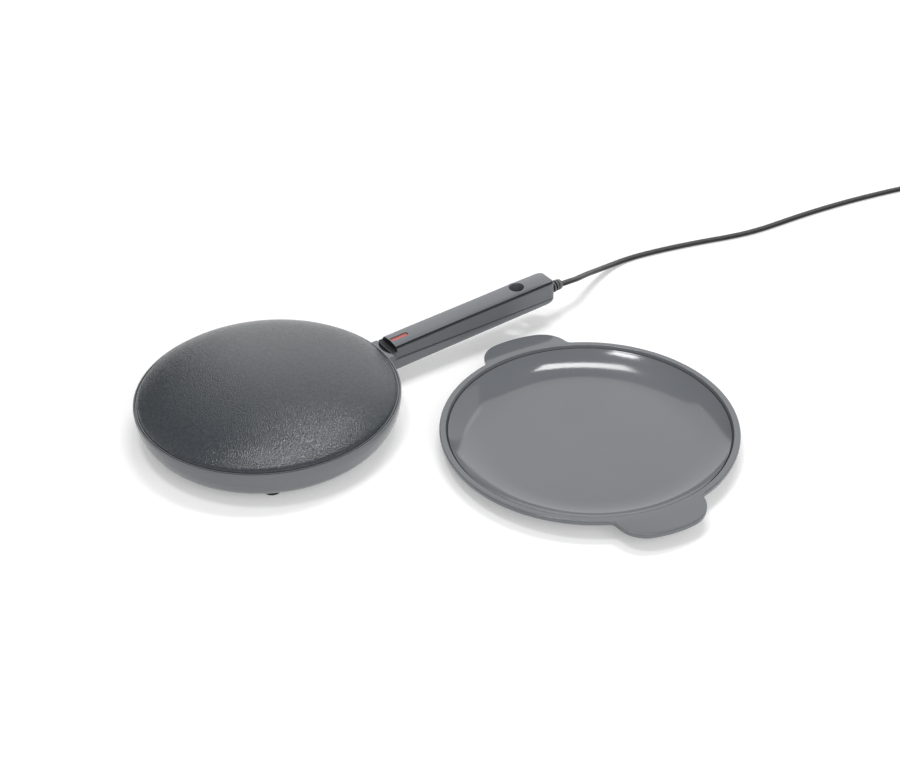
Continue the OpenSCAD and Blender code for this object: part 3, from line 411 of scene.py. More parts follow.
def metal(name, colour, rough, stretch=(60.0, 60.0, 2200.0)):
    material, tree = finish_tree(name, Metallic=1.0)
    streaks = noise(tree, 1.0, 2.0, place=tree.node("ShaderNodeMapping", values={
        "Vector": tree.place, "Scale": stretch}))
    shade = blend_colour(tree, ramp(tree, noise(tree, 120.0, 3.0), 0.0, 1.0, 0.3, 0.7),
                         [c * 0.88 for c in colour], colour)
    feed(tree, Base_Color=shade, Roughness=ramp(tree, streaks, rough - 0.08, rough + 0.1, 0.3, 0.7),
         Normal=bumps(tree, streaks, 0.00001, 0.5))
    return material


# %% Every finish, and the solids that wear it
# Painted shade: a near-black material for the faces inside grooves, gaps and openings.
painted_recess_shade = rubbery("painted_recess_shade", (0.012, 0.0125, 0.014), 0.55)
finishes = {
    "plate_coating": plate_coating, "housing_grey": housing_grey, "dish_grey": dish_grey,
    "bare_steel": metal("bare_steel", (0.62, 0.61, 0.6), 0.32),
    "shield_sheet": metal("shield_sheet", (0.75, 0.76, 0.77), 0.3, (900.0, 30.0, 30.0)),
    "pin_brass": metal("pin_brass", (0.72, 0.68, 0.58), 0.25),
    "seal_rubber": rubbery("seal_rubber", (0.33, 0.11, 0.08), 0.6),
    "foot_rubber": rubbery("foot_rubber", (0.02, 0.02, 0.021), 0.62),
    "cord_grey": rubbery("cord_grey", (0.022, 0.022, 0.023), 0.42),
    "relief_grey": rubbery("relief_grey", (0.12, 0.124, 0.128), 0.3),
    "wire_dark": rubbery("wire_dark", (0.03, 0.03, 0.03), 0.4),
    "wire_light": rubbery("wire_light", (0.75, 0.75, 0.71), 0.4),
    "wire_red": rubbery("wire_red", (0.42, 0.08, 0.05), 0.45),
    "ceramic": rubbery("ceramic", (0.72, 0.69, 0.61), 0.7, 1400.0, 0.00004),
    "lens_red": moulded("lens_red", (0.46, 0.10, 0.082), 0.12),
    "lamp_glass": moulded("lamp_glass", (0.75, 0.5, 0.38), 0.08),
}
for part in frame["record"]["subparts"]:
    finish = finishes[part["material_slot"]]
    piece = nodes[part["node"]]
    piece.data.materials.clear()
    piece.data.materials.append(finish)
print("finishes:", ", ".join(sorted(finishes)))

# %% [markdown]
# ## Painted shade in recesses
#
# A groove of a millimetre looks almost black, because hardly any light finds its way out again. A render this
# small cannot show that from the form alone, so shade is painted on the faces inside the grooves and openings
# with a second, near-black material. A separate dark strip would do too, but it could come loose from the
# groove when a size changes.

# %% Painted shade in a recess
def paint_recess_shade(piece, rule, finish="housing_grey", origin=PLATE):
    """Paints shade on the faces that a rule on their middle and normal picks, with a second, near-black
    material.
    """
    mesh = piece.data
    if painted_recess_shade.name not in mesh.materials:
        mesh.materials.clear()
        mesh.materials.append(finishes[finish])
        mesh.materials.append(painted_recess_shade)
        for face in mesh.polygons:
            face.material_index = 0
    for face in mesh.polygons:
        if rule(np.array(face.center) * 1000.0 - origin, face.normal):
            face.material_index = 1
    dark = sum(face.material_index for face in mesh.polygons)
    print(piece.name, len(mesh.polygons), "faces,", dark, "of them dark")


# %% [markdown]
# ## Turned pieces
#
# The plate, the dish and the strain relief are round. A real one is pressed or moulded in a tool that was cut
# on a lathe, so a turned section describes it fully. A Screw modifier could turn it, but it cannot make ears.
# The tree below takes a drawn section and turns it. A second list of points, one for each step round, tells
# how far the rim reaches out there, and that is how the dish gets its two ears out of the same sheet. Drawing
# rim and ears in one go leaves no seam between them.

# %% The turning tree
turner = Maker("turned_piece", Rows=int, Segments=int, Knee=float, Fall=float, Finish=bpy.types.Material)
rows, segments = turner.given("Rows"), turner.given("Segments")
sheet_mesh = turner.node("GeometryNodeMeshGrid", values={
    "Size X": 1.0, "Size Y": 1.0, "Vertices X": segments + 1, "Vertices Y": rows})
index = turner.node("GeometryNodeInputIndex")
column, row = (index / rows + 1e-4).math("FLOOR"), (index + 0.01) % rows - 0.01
place_in = turner.node("GeometryNodeInputPosition")


def picked(which):
    found = turner.node("GeometryNodeSampleIndex", {"data_type": "FLOAT_VECTOR", "domain": "POINT"}, {
        "Geometry": turner.given("Drawing"), "Value": place_in, "Index": which})
    apart = turner.node("ShaderNodeSeparateXYZ", values={0: found})
    return [Socket(turner, apart.plug.node.outputs[i]) for i in range(3)]


radius, share, height = picked((row + 0.5).math("FLOOR"))
reach = picked(rows + column % segments)[0]
out_r = radius + share * reach
angle = column * (2.0 * math.pi) / segments
drop = (out_r - turner.given("Knee")).math("MAXIMUM", 0.0) * turner.given("Fall")
turned = turner.node("GeometryNodeSetPosition", values={
    "Geometry": sheet_mesh, "Position": turner.node("ShaderNodeCombineXYZ", values={
        0: out_r * angle.math("COSINE"), 1: out_r * angle.math("SINE"), 2: height - drop})})
joined = turner.node("GeometryNodeMergeByDistance", values={"Geometry": turned, "Distance": 1e-6})
turner.end(joined, turner.given("Finish"))
print("turning tree:", len(turner.tree.nodes), "nodes")


# %% Sections and how they are turned
TURNED_SMOOTH = 35


def turn_piece(name, section, middle, finish, segments, reach=None, knee=10.0, fall=0.0):
    """Turns a section of (radius, height) or (radius, height, share of the rim's reach), in millimetres."""
    table = [(p[0] / 1000.0, p[2] if len(p) > 2 else 0.0, p[1] / 1000.0) for p in section]
    table += [(v / 1000.0, 0.0, 0.0) for v in (reach if reach is not None else np.zeros(segments))]
    piece = turner.make(mesh_from(name + "_section", table), name, TURNED_SMOOTH, Rows=len(section),
                        Segments=segments, Knee=knee / 1000.0, Fall=fall, Finish=finish)
    for vertex in piece.data.vertices:
        vertex.co += Vector(at([0, 0, 0], middle))
    return piece


def bend(middle, radius, start, end, count):
    """Points on an arc, from one angle to another in degrees."""
    return [(middle[0] + radius * math.cos(a), middle[1] + radius * math.sin(a))
            for a in np.radians(np.linspace(start, end, count))]


def rounded(points, steps):
    """A drawn line of (x, y, radius) with its corners rounded."""
    line = []
    for i, (x, y, r) in enumerate(points):
        if r <= 0 or i in (0, len(points) - 1):
            line.append((x, y))
            continue
        here = np.array([x, y])
        to_a, to_b = [np.array(points[j][:2]) - here for j in (i - 1, i + 1)]
        to_a, to_b = to_a / np.linalg.norm(to_a), to_b / np.linalg.norm(to_b)
        half = math.acos(max(-1.0, min(1.0, float(to_a @ to_b)))) / 2.0
        middle = here + (to_a + to_b) / np.linalg.norm(to_a + to_b) * r / math.sin(half)
        first, last = here + to_a * r / math.tan(half), here + to_b * r / math.tan(half)
        for t in np.linspace(0.0, 1.0, steps):
            spoke = (first - middle) * (1 - t) + (last - middle) * t
            line.append(tuple(middle + spoke / np.linalg.norm(spoke) * r))
    return line


# %% [markdown]
# ## The batter dish
#
# One moulded piece: a flat floor, a wall that rises in one wide bow, a narrow groove and a step up to a flat
# rim, and a turned-down edge that stiffens it. The two ears grow out of the rim and fall away a little.
# Underneath, the ears and the rim are hollow, and a low ring keeps the floor off the table. Such a dish could
# be modelled as a box that is pulled and subdivided, but its long mirror-like curves show every wobble. A
# turned section of true arcs has none.

# %% The dish's section
DISH_H, DISH_T, RIM_R, BAND, STEP, BOWL_R = 16.5, 2.3, 112.55, 4.8, 2.0, 53.0
FOOT_H, FOOT_R, FOOT_W, FOOT_ROUND = 1.0, 69.0, 3.6, 0.4
RIM_ROUND, EDGE_H, EDGE_T, EDGE_ROUND = 0.9, 3.4, 1.9, 0.4
GROOVE_IN, GROOVE_OUT, GROOVE_FOOT = 0.2, 0.9, 0.7
FLOOR_H = FOOT_H + DISH_T
step_h, under_h, edge_low = DISH_H - STEP, DISH_H - DISH_T, DISH_H - EDGE_H
rim_in, edge_in = RIM_R - BAND, RIM_R - EDGE_T
bowl_top = rim_in - STEP * 0.8
bowl_slope = math.degrees(math.acos(1 - (step_h - FLOOR_H) / BOWL_R))
bowl_middle = (bowl_top - BOWL_R * math.sin(math.radians(bowl_slope)), FLOOR_H + BOWL_R)

# The inside, from the middle of the floor up the wall and over the groove to the rim.
dish_section = [(0.0, FLOOR_H), (30.0, FLOOR_H), (60.0, FLOOR_H)]
dish_section += bend(bowl_middle, BOWL_R, -90, -90 + bowl_slope - 1.5, 34)
dish_section += rounded([
    (*dish_section[-1], 0), (bowl_top - GROOVE_IN, step_h - 0.1, 0.2),
    (bowl_top + GROOVE_IN, step_h - GROOVE_FOOT, 0.25), (bowl_top + GROOVE_OUT, step_h - 0.5, 0.3),
    (rim_in, DISH_H, 0.5), (rim_in + 1.2, DISH_H, 0)], 7)

# Across the rim, where the share of the ears' reach grows from none to all, and down over the edge.
dish_section += [(rim_in + 0.9 + (BAND - 1.9) * t, DISH_H, t) for t in np.linspace(0.12, 1.0, 10)]
edge_line = bend((RIM_R - RIM_ROUND, DISH_H - RIM_ROUND), RIM_ROUND, 84, 6, 7)
edge_line += [(RIM_R, DISH_H - 1.3), (RIM_R, edge_low + 0.5)]
edge_line += bend((RIM_R - 0.45, edge_low + 0.45), 0.45, 0, -90, 5)
edge_line += bend((edge_in + EDGE_ROUND, edge_low + EDGE_ROUND), EDGE_ROUND, -90, -180, 5)
edge_line += [(edge_in, under_h - 0.5), (edge_in - 0.3, under_h)]
dish_section += [(*p, 1.0) for p in edge_line]

# Back underneath, where the share falls to none again, and in along the wall to the foot ring.
dish_section += [(edge_in - 0.4 - t, under_h, 1.0 - t) for t in np.linspace(0.1, 1.0, 8)]
dish_section += bend(bowl_middle, BOWL_R + DISH_T, -90 + bowl_slope - 0.6, -90, 18)
foot_in = FOOT_R - FOOT_W
dish_section += rounded([
    (FOOT_R + 3.0, FOOT_H, 0), (FOOT_R + FOOT_ROUND, FOOT_H, FOOT_ROUND), (FOOT_R, 0.0, FOOT_ROUND),
    (foot_in, 0.0, FOOT_ROUND), (foot_in - FOOT_ROUND, FOOT_H, FOOT_ROUND),
    (FOOT_R - 7.0, FOOT_H, 0), (0.0, FOOT_H, 0)], 4)
print("dish's section:", len(dish_section), "points, wall up to", round(bowl_slope, 1), "degrees")

# %% The dish's ears
EAR_REACH, EAR_HALF, EAR_CORNER, EAR_TIP, EAR_FILLET = 18.7, 35.4, 22.8, 83.8, 6.0
EARS_TURNED, EARS_FALL = -10.0, 4.0


def ear_reach(count):
    """How far the rim reaches out beyond its circle, all the way round.

    Half an ear is three arcs: a flat one over its tip, its corner, and a hollow fillet into the rim. They are
    drawn upwards from the dish's middle, and both ears read the same half line, mirrored.
    """
    tip_y = RIM_R + EAR_REACH - EAR_TIP
    cx = EAR_HALF - EAR_CORNER
    cy = tip_y + math.sqrt((EAR_TIP - EAR_CORNER) ** 2 - cx ** 2)
    tip_a = math.degrees(math.atan2(cx, cy - tip_y))
    near, far, away_by = EAR_CORNER + EAR_FILLET, RIM_R + EAR_FILLET, math.hypot(cx, cy)
    base = math.atan2(cy, cx)
    opening = math.acos((far ** 2 + away_by ** 2 - near ** 2) / (2 * far * away_by))
    fx, fy = far * math.cos(base - opening), far * math.sin(base - opening)
    to_corner = math.degrees(math.atan2(cy - fy, cx - fx)) % 360
    to_dish = math.degrees(math.atan2(-fy, -fx)) % 360
    line = bend((0, tip_y), EAR_TIP, 90, 90 - tip_a, 60)
    line += bend((cx, cy), EAR_CORNER, 90 - tip_a, to_corner - 180, 120)
    line += bend((fx, fy), EAR_FILLET, to_corner, to_dish, 40)
    around = np.degrees([math.atan2(x, y) for x, y in line])
    out = np.hypot(*np.array(line).T)
    steps = np.arange(count) * 360.0 / count
    from_ear = np.abs((steps - EARS_TURNED) % 180.0 - 90.0)
    order = np.argsort(around)
    return np.maximum(np.interp(from_ear, around[order], out[order], right=RIM_R) - RIM_R, 0.0)


DISH_STEPS = 660
ears = ear_reach(DISH_STEPS)
print("ears reach", round(float(ears.max()), 2), "mm out and take", int((ears > 0).sum()), "steps")

# %% The dish
dish = turn_piece("dish_body", dish_section, DISH, dish_grey, DISH_STEPS, ears,
                  RIM_R - RIM_ROUND, math.tan(math.radians(EARS_FALL)))


def shade_in_the_step(c, n):
    """The groove at the foot of the rim's step, where shade is painted."""
    out_by = math.hypot(c[0], c[1]) - bowl_top
    return -0.25 < out_by < GROOVE_OUT + 0.15 and step_h - 1.6 < c[2] < step_h + 0.7


# Painted shade in the groove at the foot of the rim's step.
paint_recess_shade(dish, shade_in_the_step, "dish_grey", DISH)
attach(dish, "dish")
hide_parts("batter_dish")

# %% [markdown]
# ## The cooking plate
#
# A die-cast dome, 197 mm across, with a pebbled non-stick skin. It is almost flat in the middle, so that the
# crepe bakes evenly, and bends down faster in a shoulder near the rim, which turns into the housing's ring in
# a small round edge. A part of a ball would be the quick way to draw it, but has no shoulder. Here the slope
# is written as a rule, a steady part and a steep power of the radius, and added up into heights.

# %% The plate
PLATE_R, SKIRT_TOP, SKIRT_FOOT, SKIRT_W, EDGE_R, PLATE_T = 98.7, 30.8, 26.5, 3.0, 3.5, 4.0
DOME_TILT, SHOULDER_TILT, SHOULDER_POWER = 16.0, 13.0, 7.0
UNDERSIDE_SHARE = 0.955
edge_tilt = math.radians(DOME_TILT + SHOULDER_TILT)
dome_x = np.linspace(0.0, PLATE_R - EDGE_R * (1 - math.sin(edge_tilt)), 60)
share_out = dome_x / dome_x[-1]
dome_slope = np.tan(np.radians(DOME_TILT * share_out + SHOULDER_TILT * share_out ** SHOULDER_POWER))
rise = np.cumsum((dome_slope[1:] + dome_slope[:-1]) / 2 * np.diff(dome_x))
dome_top = SKIRT_TOP + EDGE_R * math.cos(edge_tilt) + rise[-1]
dome_line = [(x, dome_top - z) for x, z in zip(dome_x, np.concatenate([[0.0], rise]))]
plate_section = dome_line[:-1]
plate_section += bend((PLATE_R - EDGE_R, SKIRT_TOP), EDGE_R, 90 - math.degrees(edge_tilt), 0, 12)
plate_section += [(PLATE_R, SKIRT_FOOT), (PLATE_R - SKIRT_W, SKIRT_FOOT)]
plate_section += [(x * UNDERSIDE_SHARE, z - PLATE_T) for x, z in dome_line[::-4]]
plate_section[-1] = (0.0, dome_top - PLATE_T)
plate = turn_piece("plate_body", plate_section, PLATE, plate_coating, 256)
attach(plate, "maker")
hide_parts("cooking_plate")

# %% [markdown]
# ## The handle
#
# Two moulded half shells, held together by three screws from below. The upper one has a gently arched crown
# between two narrow grooves, with painted shade in them. Under them runs a bevel, and then the side walls lean
# out by some fifteen degrees, so that the shell leaves its mould easily and a hand finds an edge to hold. At
# the plate's end the shell opens in a mouth, which stands back behind a thin ridge and has painted shade on
# its faces, as has the scoop before it. The far end is rounded, seen from above, and its heel sweeps up. The
# lower shell's top edge is set back, which leaves a fine shadow line where the halves meet.
#
# These shells could be drawn anew, but the solids already have the slot, the hole and the scoop in the right
# places. So each one starts as a copy of its solid, is cut along fine lines where the form will change, and
# its points are moved by rules.

# %% Tools for softening a copy of a solid
HANDLE_X0, CROWN_H, HANDLE_H = 101.65, 35.7, 23.5
HANDLE_W, PARTING, HANDLE_END = 24.4, 26.5, 262.5
HANDLE_TILT = math.radians(2.4)
slant = math.tan(HANDLE_TILT)


def crown_height(x):
    return CROWN_H + (x - HANDLE_X0) * slant


def belly_height(x):
    return crown_height(x) - HANDLE_H / math.cos(HANDLE_TILT)


def cut_copy(node, name, cuts):
    """A merged copy of a node, cut along planes: each a point in the plate's millimetres and a normal."""
    mesh = nodes[node].data.copy()
    for extra in ("custom_normal", "sharp_edge", "sharp_face"):
        if extra in mesh.attributes:
            mesh.attributes.remove(mesh.attributes[extra])
    piece = new_object(name, mesh)
    work = bmesh.new()
    work.from_mesh(mesh)
    bmesh.ops.remove_doubles(work, verts=work.verts, dist=2e-6)
    bmesh.ops.dissolve_limit(work, angle_limit=math.radians(0.4), verts=work.verts, edges=work.edges)
    bmesh.ops.triangulate(work, faces=work.faces)
    for point, normal in cuts:
        bmesh.ops.bisect_plane(work, geom=work.verts[:] + work.edges[:] + work.faces[:], dist=1e-7,
                               plane_co=Vector(at(point)), plane_no=Vector(normal).normalized())
    work.to_mesh(mesh)
    work.free()
    return piece


def reshape(piece, rule, smooth):
    """Moves all points by a rule in the plate's millimetres, and shades the result smooth."""
    mesh = piece.data
    flat = np.empty(len(mesh.vertices) * 3)
    mesh.vertices.foreach_get("co", flat)
    points = flat.reshape(-1, 3) * 1000.0 - PLATE
    mesh.vertices.foreach_set("co", ((rule(points) + PLATE) / 1000.0).ravel())
    mesh.update()
    return tidy_mesh(piece, smooth)


print("handle tilts by", round(math.degrees(HANDLE_TILT), 2), "degrees")

# %% The upper shell's sides
# A drop is a depth under the crown's middle. The solid's side is an arc under a flat crown's edge.
EDGE_HALF, EDGE_DROP = 8.7, 2.1
SIDE_DEEP, SIDE_LEAN = 10.9, 3.5
ARC_MIDDLE, ARC_RADIUS, ARC_DROP = 6.284, 5.916, 7.5
BEVEL, BEVEL_GROWS, BEVEL_RUN = 1.3, 0.9, 160.0
CROWN_GROOVE, GROOVE_HALF, GROOVE_DEEP = 2.9, 0.7, 1.2


def side_of_solid(drop):
    """Half width of the solid's upper shell at that drop."""
    arc = ARC_MIDDLE + np.sqrt(np.maximum(
        ARC_RADIUS ** 2 - (np.minimum(drop, ARC_DROP) - ARC_DROP) ** 2, 0.0))
    return np.where(drop < EDGE_DROP, EDGE_HALF, arc)


def side_of_cover(drop, x):
    """Half width that the shell gets at that drop: crown, groove, bevel and a straight wall."""
    bevel = BEVEL + np.clip((x - HANDLE_X0) / BEVEL_RUN, 0.0, 1.0) * BEVEL_GROWS
    t = np.clip((drop - EDGE_DROP - bevel) / (SIDE_DEEP - bevel), 0.0, 1.0)
    slope = EDGE_HALF + np.clip(drop - EDGE_DROP, 0.0, bevel)
    wall = EDGE_HALF + bevel + (SIDE_LEAN - bevel) * t
    groove = GROOVE_DEEP * np.clip(1.0 - np.abs(drop - CROWN_GROOVE) / GROOVE_HALF, 0.0, 1.0)
    return np.where(drop < EDGE_DROP + bevel, slope, wall) - groove


slant_cuts = [((HANDLE_X0, 0, CROWN_H - d), (-slant, 0, 1)) for d in (
    EDGE_DROP, CROWN_GROOVE - GROOVE_HALF, CROWN_GROOVE, CROWN_GROOVE + GROOVE_HALF, 4.8, 7.5, 10, 13)]
slant_cuts += [((HANDLE_X0, 0, CROWN_H - d), (BEVEL_GROWS / BEVEL_RUN - slant, 0, 1)) for d in (
    EDGE_DROP + BEVEL, EDGE_DROP + BEVEL + 0.1)]
print("cuts along the sides:", len(slant_cuts))

# %% The crown
CROWN_RISE, CROWN_SHARE = 1.0, 0.48
DROOP, DROOP_X, DROOP_RUN = 1.8, 236.0, 28.0


def flatten_the_crown(p):
    """Lowers the crown's arch to a rise of one millimetre, and leaves the parting where it is."""
    x, z = p[:, 0], p[:, 2]
    crown = crown_height(x)
    drop, deep = crown - z, crown - PARTING
    lower = CROWN_RISE + (drop - EDGE_DROP) * (deep - CROWN_RISE) / (deep - EDGE_DROP)
    flat = np.where(drop < EDGE_DROP, drop * CROWN_SHARE, lower)
    fade = np.clip(1.0 - flat / (deep - CROWN_RISE), 0.0, 1.0)
    droop = DROOP * np.clip((x - DROOP_X) / DROOP_RUN, 0.0, 1.0) ** 2 * fade
    p[:, 2] = np.where(z > PARTING, crown - np.maximum(flat, drop * CROWN_SHARE) - droop, z)
    return p


# %% The mouth at the plate's end
MOUTH_X, COVER_X0, RIDGE_H = 109.75, 105.85, 30.5
FRONT_H, FRONT_SLANT, MOUTH_RUN = 5.5, 0.7, 2.6
RIDGE_CUTS = [0.12, 0.22, 0.42, 0.6]


def open_the_mouth(p):
    """Stands the shell's front face upright and sets it back behind a thin ridge at its foot."""
    x, z = p[:, 0], p[:, 2]
    front = COVER_X0 + np.clip(z - RIDGE_H, 0.0, FRONT_H) * FRONT_SLANT
    ridge = [RIDGE_H] + [RIDGE_H + up_by for up_by in RIDGE_CUTS]
    back = np.interp(z, ridge, [COVER_X0, COVER_X0 + 0.1, COVER_X0 + 0.8, MOUTH_X - 0.1, MOUTH_X])
    back = np.maximum(back, front)
    stop = MOUTH_X + MOUTH_RUN
    t = np.clip((x - front) / (stop - front), 0.0, 1.0)
    p[:, 0] = np.where((x < stop) & (z > RIDGE_H), back + (stop - back) * t, x)
    on_front = (z > RIDGE_H) & (z < ridge[-1] + 0.1) & (x < front + 0.05)
    raised = np.interp(z, ridge[:-1] + [ridge[-1] + 0.1], [0.35, 0.3, -0.25, -0.4, 0.0])
    p[:, 2] = np.where(on_front, z + raised, z)
    return p


# %% The far end
END_CORNER, STRETCH, STRETCH_X, STRETCH_RUN = 6.0, 1.4, 250.0, 12.5


def round_the_end(p):
    """Rounds the far end's corners, seen from above, and draws the end out a little."""
    into = np.clip(p[:, 0] - (HANDLE_END - END_CORNER), 0.0, END_CORNER - 0.02)
    half = HANDLE_W / 2 - END_CORNER + np.sqrt(END_CORNER ** 2 - into ** 2)
    p[:, 1] *= half / (HANDLE_W / 2)
    p[:, 0] += np.clip((p[:, 0] - STRETCH_X) / STRETCH_RUN, 0.0, 1.0) * STRETCH
    return p


end_cuts = [((HANDLE_END - d, 0, 0), (1, 0, 0)) for d in (END_CORNER, 5.4, 4.7, 4.0, 3.2, 2.4, 1.6, 0.8)]
print("cuts near the far end:", len(end_cuts))

# %% The upper shell
cover = cut_copy("handle_cover", "cover_shell", end_cuts + slant_cuts + [
    ((0, 0, RIDGE_H + up_by), (0, 0, 1)) for up_by in RIDGE_CUTS])


def cover_rule(p):
    drop = crown_height(p[:, 0]) - p[:, 2]
    side = np.abs(p[:, 1])
    outer = (side > side_of_solid(drop) - 0.12) & (drop > EDGE_DROP - 0.05)
    p[:, 1] = np.where(outer, np.sign(p[:, 1]) * side_of_cover(drop, p[:, 0]), p[:, 1])
    return flatten_the_crown(open_the_mouth(round_the_end(p)))


def shade_in_the_groove(c, n):
    """The grooves along the crown, where shade is painted. They are picked before the points move, while their
    drops are known.
    """
    drop = crown_height(c[0]) - c[2]
    in_height = abs(drop - CROWN_GROOVE) < GROOVE_HALF
    return in_height and abs(c[1]) > side_of_solid(drop) - 0.8 and abs(n[0]) < 0.5


def shade_in_the_mouth(c, n):
    """The upright front face and the ledge before it, short of the outer skin, where shade is painted."""
    drop = crown_height(c[0]) - c[2]
    in_depth = COVER_X0 + 0.25 < c[0] < MOUTH_X + 0.15 and c[2] > RIDGE_H - 0.3
    return in_depth and (n[0] < -0.3 or n[2] > 0.8) and abs(c[1]) < side_of_cover(drop, c[0]) - 0.1


# Painted shade in the grooves along the crown.
paint_recess_shade(cover, shade_in_the_groove)
cover = reshape(cover, cover_rule, 14)
# Painted shade on the mouth's upright front face and the ledge before it.
paint_recess_shade(cover, shade_in_the_mouth)
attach(cover, "maker")
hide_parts("handle_cover")

# %% The round housing with the lower shell
HEEL_L, HEEL_H, HEEL_RISE = 9.4, 7.0, 2.8
LINE_X, LINE_SLANT, LINE_DROP, LINE_DEEP = 106.0, 0.012, 2.3, 1.1
SCOOP_X, SCOOP_L, SCOOP_W, SCOOP_FLOOR = 104.95, 2.4, 18.0, 28.0
SCOOP_LONGER, SCOOP_WIDER, SCOOP_SHIFT = 1.45, 1.12, 0.4
heel_cuts = [((HANDLE_END - d, 0, 0), (1, 0, 0)) for d in (HEEL_L, 8, 6.6, 5.6)]
line_cuts = [((LINE_X, 0, PARTING - d), (-LINE_SLANT, 0, 1)) for d in (LINE_DROP, LINE_DROP + 0.12)]
housing = cut_copy("base_housing", "housing_shell", end_cuts + heel_cuts + line_cuts)


def housing_rule(p):
    """Sweeps the heel up, sets the wall back above the shadow line, and widens the scoop."""
    x, z, side = p[:, 0], p[:, 2], np.abs(p[:, 1])
    t = np.clip((x - (HANDLE_END - HEEL_L)) / HEEL_L, 0.0, 0.98)
    low = np.clip(1.0 - (z - belly_height(x)) / HEEL_H, 0.0, 1.0)
    p[:, 2] = z + HEEL_RISE * (1.0 - np.sqrt(1.0 - t ** 2)) * low
    line_z = PARTING - LINE_DROP - 0.06 + LINE_SLANT * (x - LINE_X)
    above_line = (z > line_z) & (x > LINE_X + 0.5) & (side > 10.4)
    p[:, 1] = np.where(above_line, np.sign(p[:, 1]) * (side - LINE_DEEP), p[:, 1])
    along = (x > SCOOP_X - SCOOP_L - 0.05) & (x < SCOOP_X + 0.01)
    scoop = along & (side < SCOOP_W / 2 + 0.01) & (z > SCOOP_FLOOR)
    p[:, 0] = np.where(scoop, SCOOP_X + SCOOP_SHIFT - (SCOOP_X - x) * SCOOP_LONGER, x)
    p[:, 1] = np.where(scoop, p[:, 1] * SCOOP_WIDER, p[:, 1])
    return round_the_end(p)


def shade_in_the_scoop(c, n):
    in_depth = SCOOP_X - 3.6 < c[0] < SCOOP_X + 0.45
    return in_depth and abs(c[1]) < SCOOP_W / 2 * SCOOP_WIDER and SCOOP_FLOOR < c[2] < RIDGE_H - 0.1


housing = reshape(housing, housing_rule, 20)
# Painted shade in the scoop before the mouth.
paint_recess_shade(housing, shade_in_the_scoop)
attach(housing, "maker")
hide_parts("base_housing")

# %% [markdown]
# ## The strain relief
#
# A soft sleeve moulded round the cord keeps it from kinking at the handle. Its rings shrink towards the tip,
# and the gaps between them let it bend. The rings could be an array of one ring, but each has a size of its
# own, so the sleeve is turned from one section like the round pieces, and then laid along the handle.

# %% Strain relief
SLEEVE_R, SLEEVE_L, CORE_R = 4.0, 10.6, 3.1
RINGS, FIRST_RING, RING_PITCH, RING_L, RING_R, RING_TAPER = 4, 9.2, 3.1, 1.55, 5.9, 0.42
TIP_START, TIP_END, TIP_R = 20.9, 24.2, 4.6
relief_section = [(0.0, 0.0), (SLEEVE_R, 0.0), (SLEEVE_R, SLEEVE_L)]
for i in range(RINGS):
    low, outer = FIRST_RING + i * RING_PITCH, RING_R - RING_TAPER * i
    relief_section += rounded([(CORE_R, low, 0), (outer, low, 0.3), (outer - 0.12, low + RING_L, 0.3),
                               (CORE_R, low + RING_L, 0)], 4)
relief_section += rounded([(CORE_R, TIP_START, 0), (TIP_R, TIP_START, 0.2),
                           (TIP_R - 0.5, TIP_END - 0.2, 0.8), (0.0, TIP_END, 0)], 5)
relief = turn_piece("relief_sleeve", relief_section, PLATE, finishes["relief_grey"], 64)
relief_start = np.array([252.3, 0.0, 28.2])
for vertex in relief.data.vertices:
    local = np.array(vertex.co) * 1000.0 - PLATE
    vertex.co = Vector(at(relief_start + [local[2], local[0], local[1]]))
tidy_mesh(relief, TURNED_SMOOTH)


def shade_between_the_rings(c, n):
    return math.hypot(c[1], c[2] - relief_start[2]) < SLEEVE_R and c[0] < 273.0


# Painted shade in the gaps between the rings.
paint_recess_shade(relief, shade_between_the_rings, "relief_grey")
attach(relief, "maker")
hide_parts("strain_relief")

# %% [markdown]
# ## The flat cord
#
# Two insulated wires lie side by side in one sheath, so the cord is wide and thin, and a shallow furrow runs
# along its middle. A curve with a bevel would make a round lead, and two round ones side by side would touch
# in a sharp line. Here one circle is squashed, dented in the middle and swept along the cord's line. The
# line's normal is kept upright, so that the flat side never turns over.

# %% The cord's body
CORD_W, CORD_T, CORD_FURROW, FURROW_NARROW, SQUARENESS = 0.006, 0.0034, 0.16, 2.6, 0.8
cord_maker = Maker("flat_twin_cord", Width=float, Thickness=float, Furrow=float, Finish=bpy.types.Material)
turn = cord_maker.node("GeometryNodeCurvePrimitiveCircle", {"mode": "RADIUS"}, {
    "Resolution": 28, "Radius": 1.0})
spot = cord_maker.node("GeometryNodeInputPosition")
xyz = cord_maker.node("ShaderNodeSeparateXYZ", values={0: spot})
across, over = xyz, Socket(cord_maker, xyz.plug.node.outputs[1])
dip = 1.0 - cord_maker.given("Furrow") * (0.0 - (across * FURROW_NARROW) ** 2.0).math("EXPONENT")
full = (over.math("ABSOLUTE") + 1e-6) ** SQUARENESS * over.math("SIGN")
section = cord_maker.node("GeometryNodeSetPosition", values={
    "Geometry": turn, "Position": cord_maker.node("ShaderNodeCombineXYZ", values={
        0: across * cord_maker.given("Width") / 2.0, 1: full * dip * cord_maker.given("Thickness") / 2.0})})
line = cord_maker.node("GeometryNodeMeshToCurve", values={"Mesh": cord_maker.given("Drawing")})
level_line = cord_maker.node("GeometryNodeSetCurveNormal", {"mode": "Z_UP"}, {"Curve": line})
swept = cord_maker.node("GeometryNodeCurveToMesh", values={
    "Curve": level_line, "Profile Curve": section, "Fill Caps": True})
cord_maker.end(swept, cord_maker.given("Finish"))

drawing = mesh_from("cord_line", cord_line, edges=[(i, i + 1) for i in range(len(cord_line) - 1)])
cord = cord_maker.make(drawing, "flat_cord", 50, Width=CORD_W, Thickness=CORD_T, Furrow=CORD_FURROW,
                       Finish=finishes["cord_grey"])
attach(cord, "maker")
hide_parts("power_cord", "cord_coil")

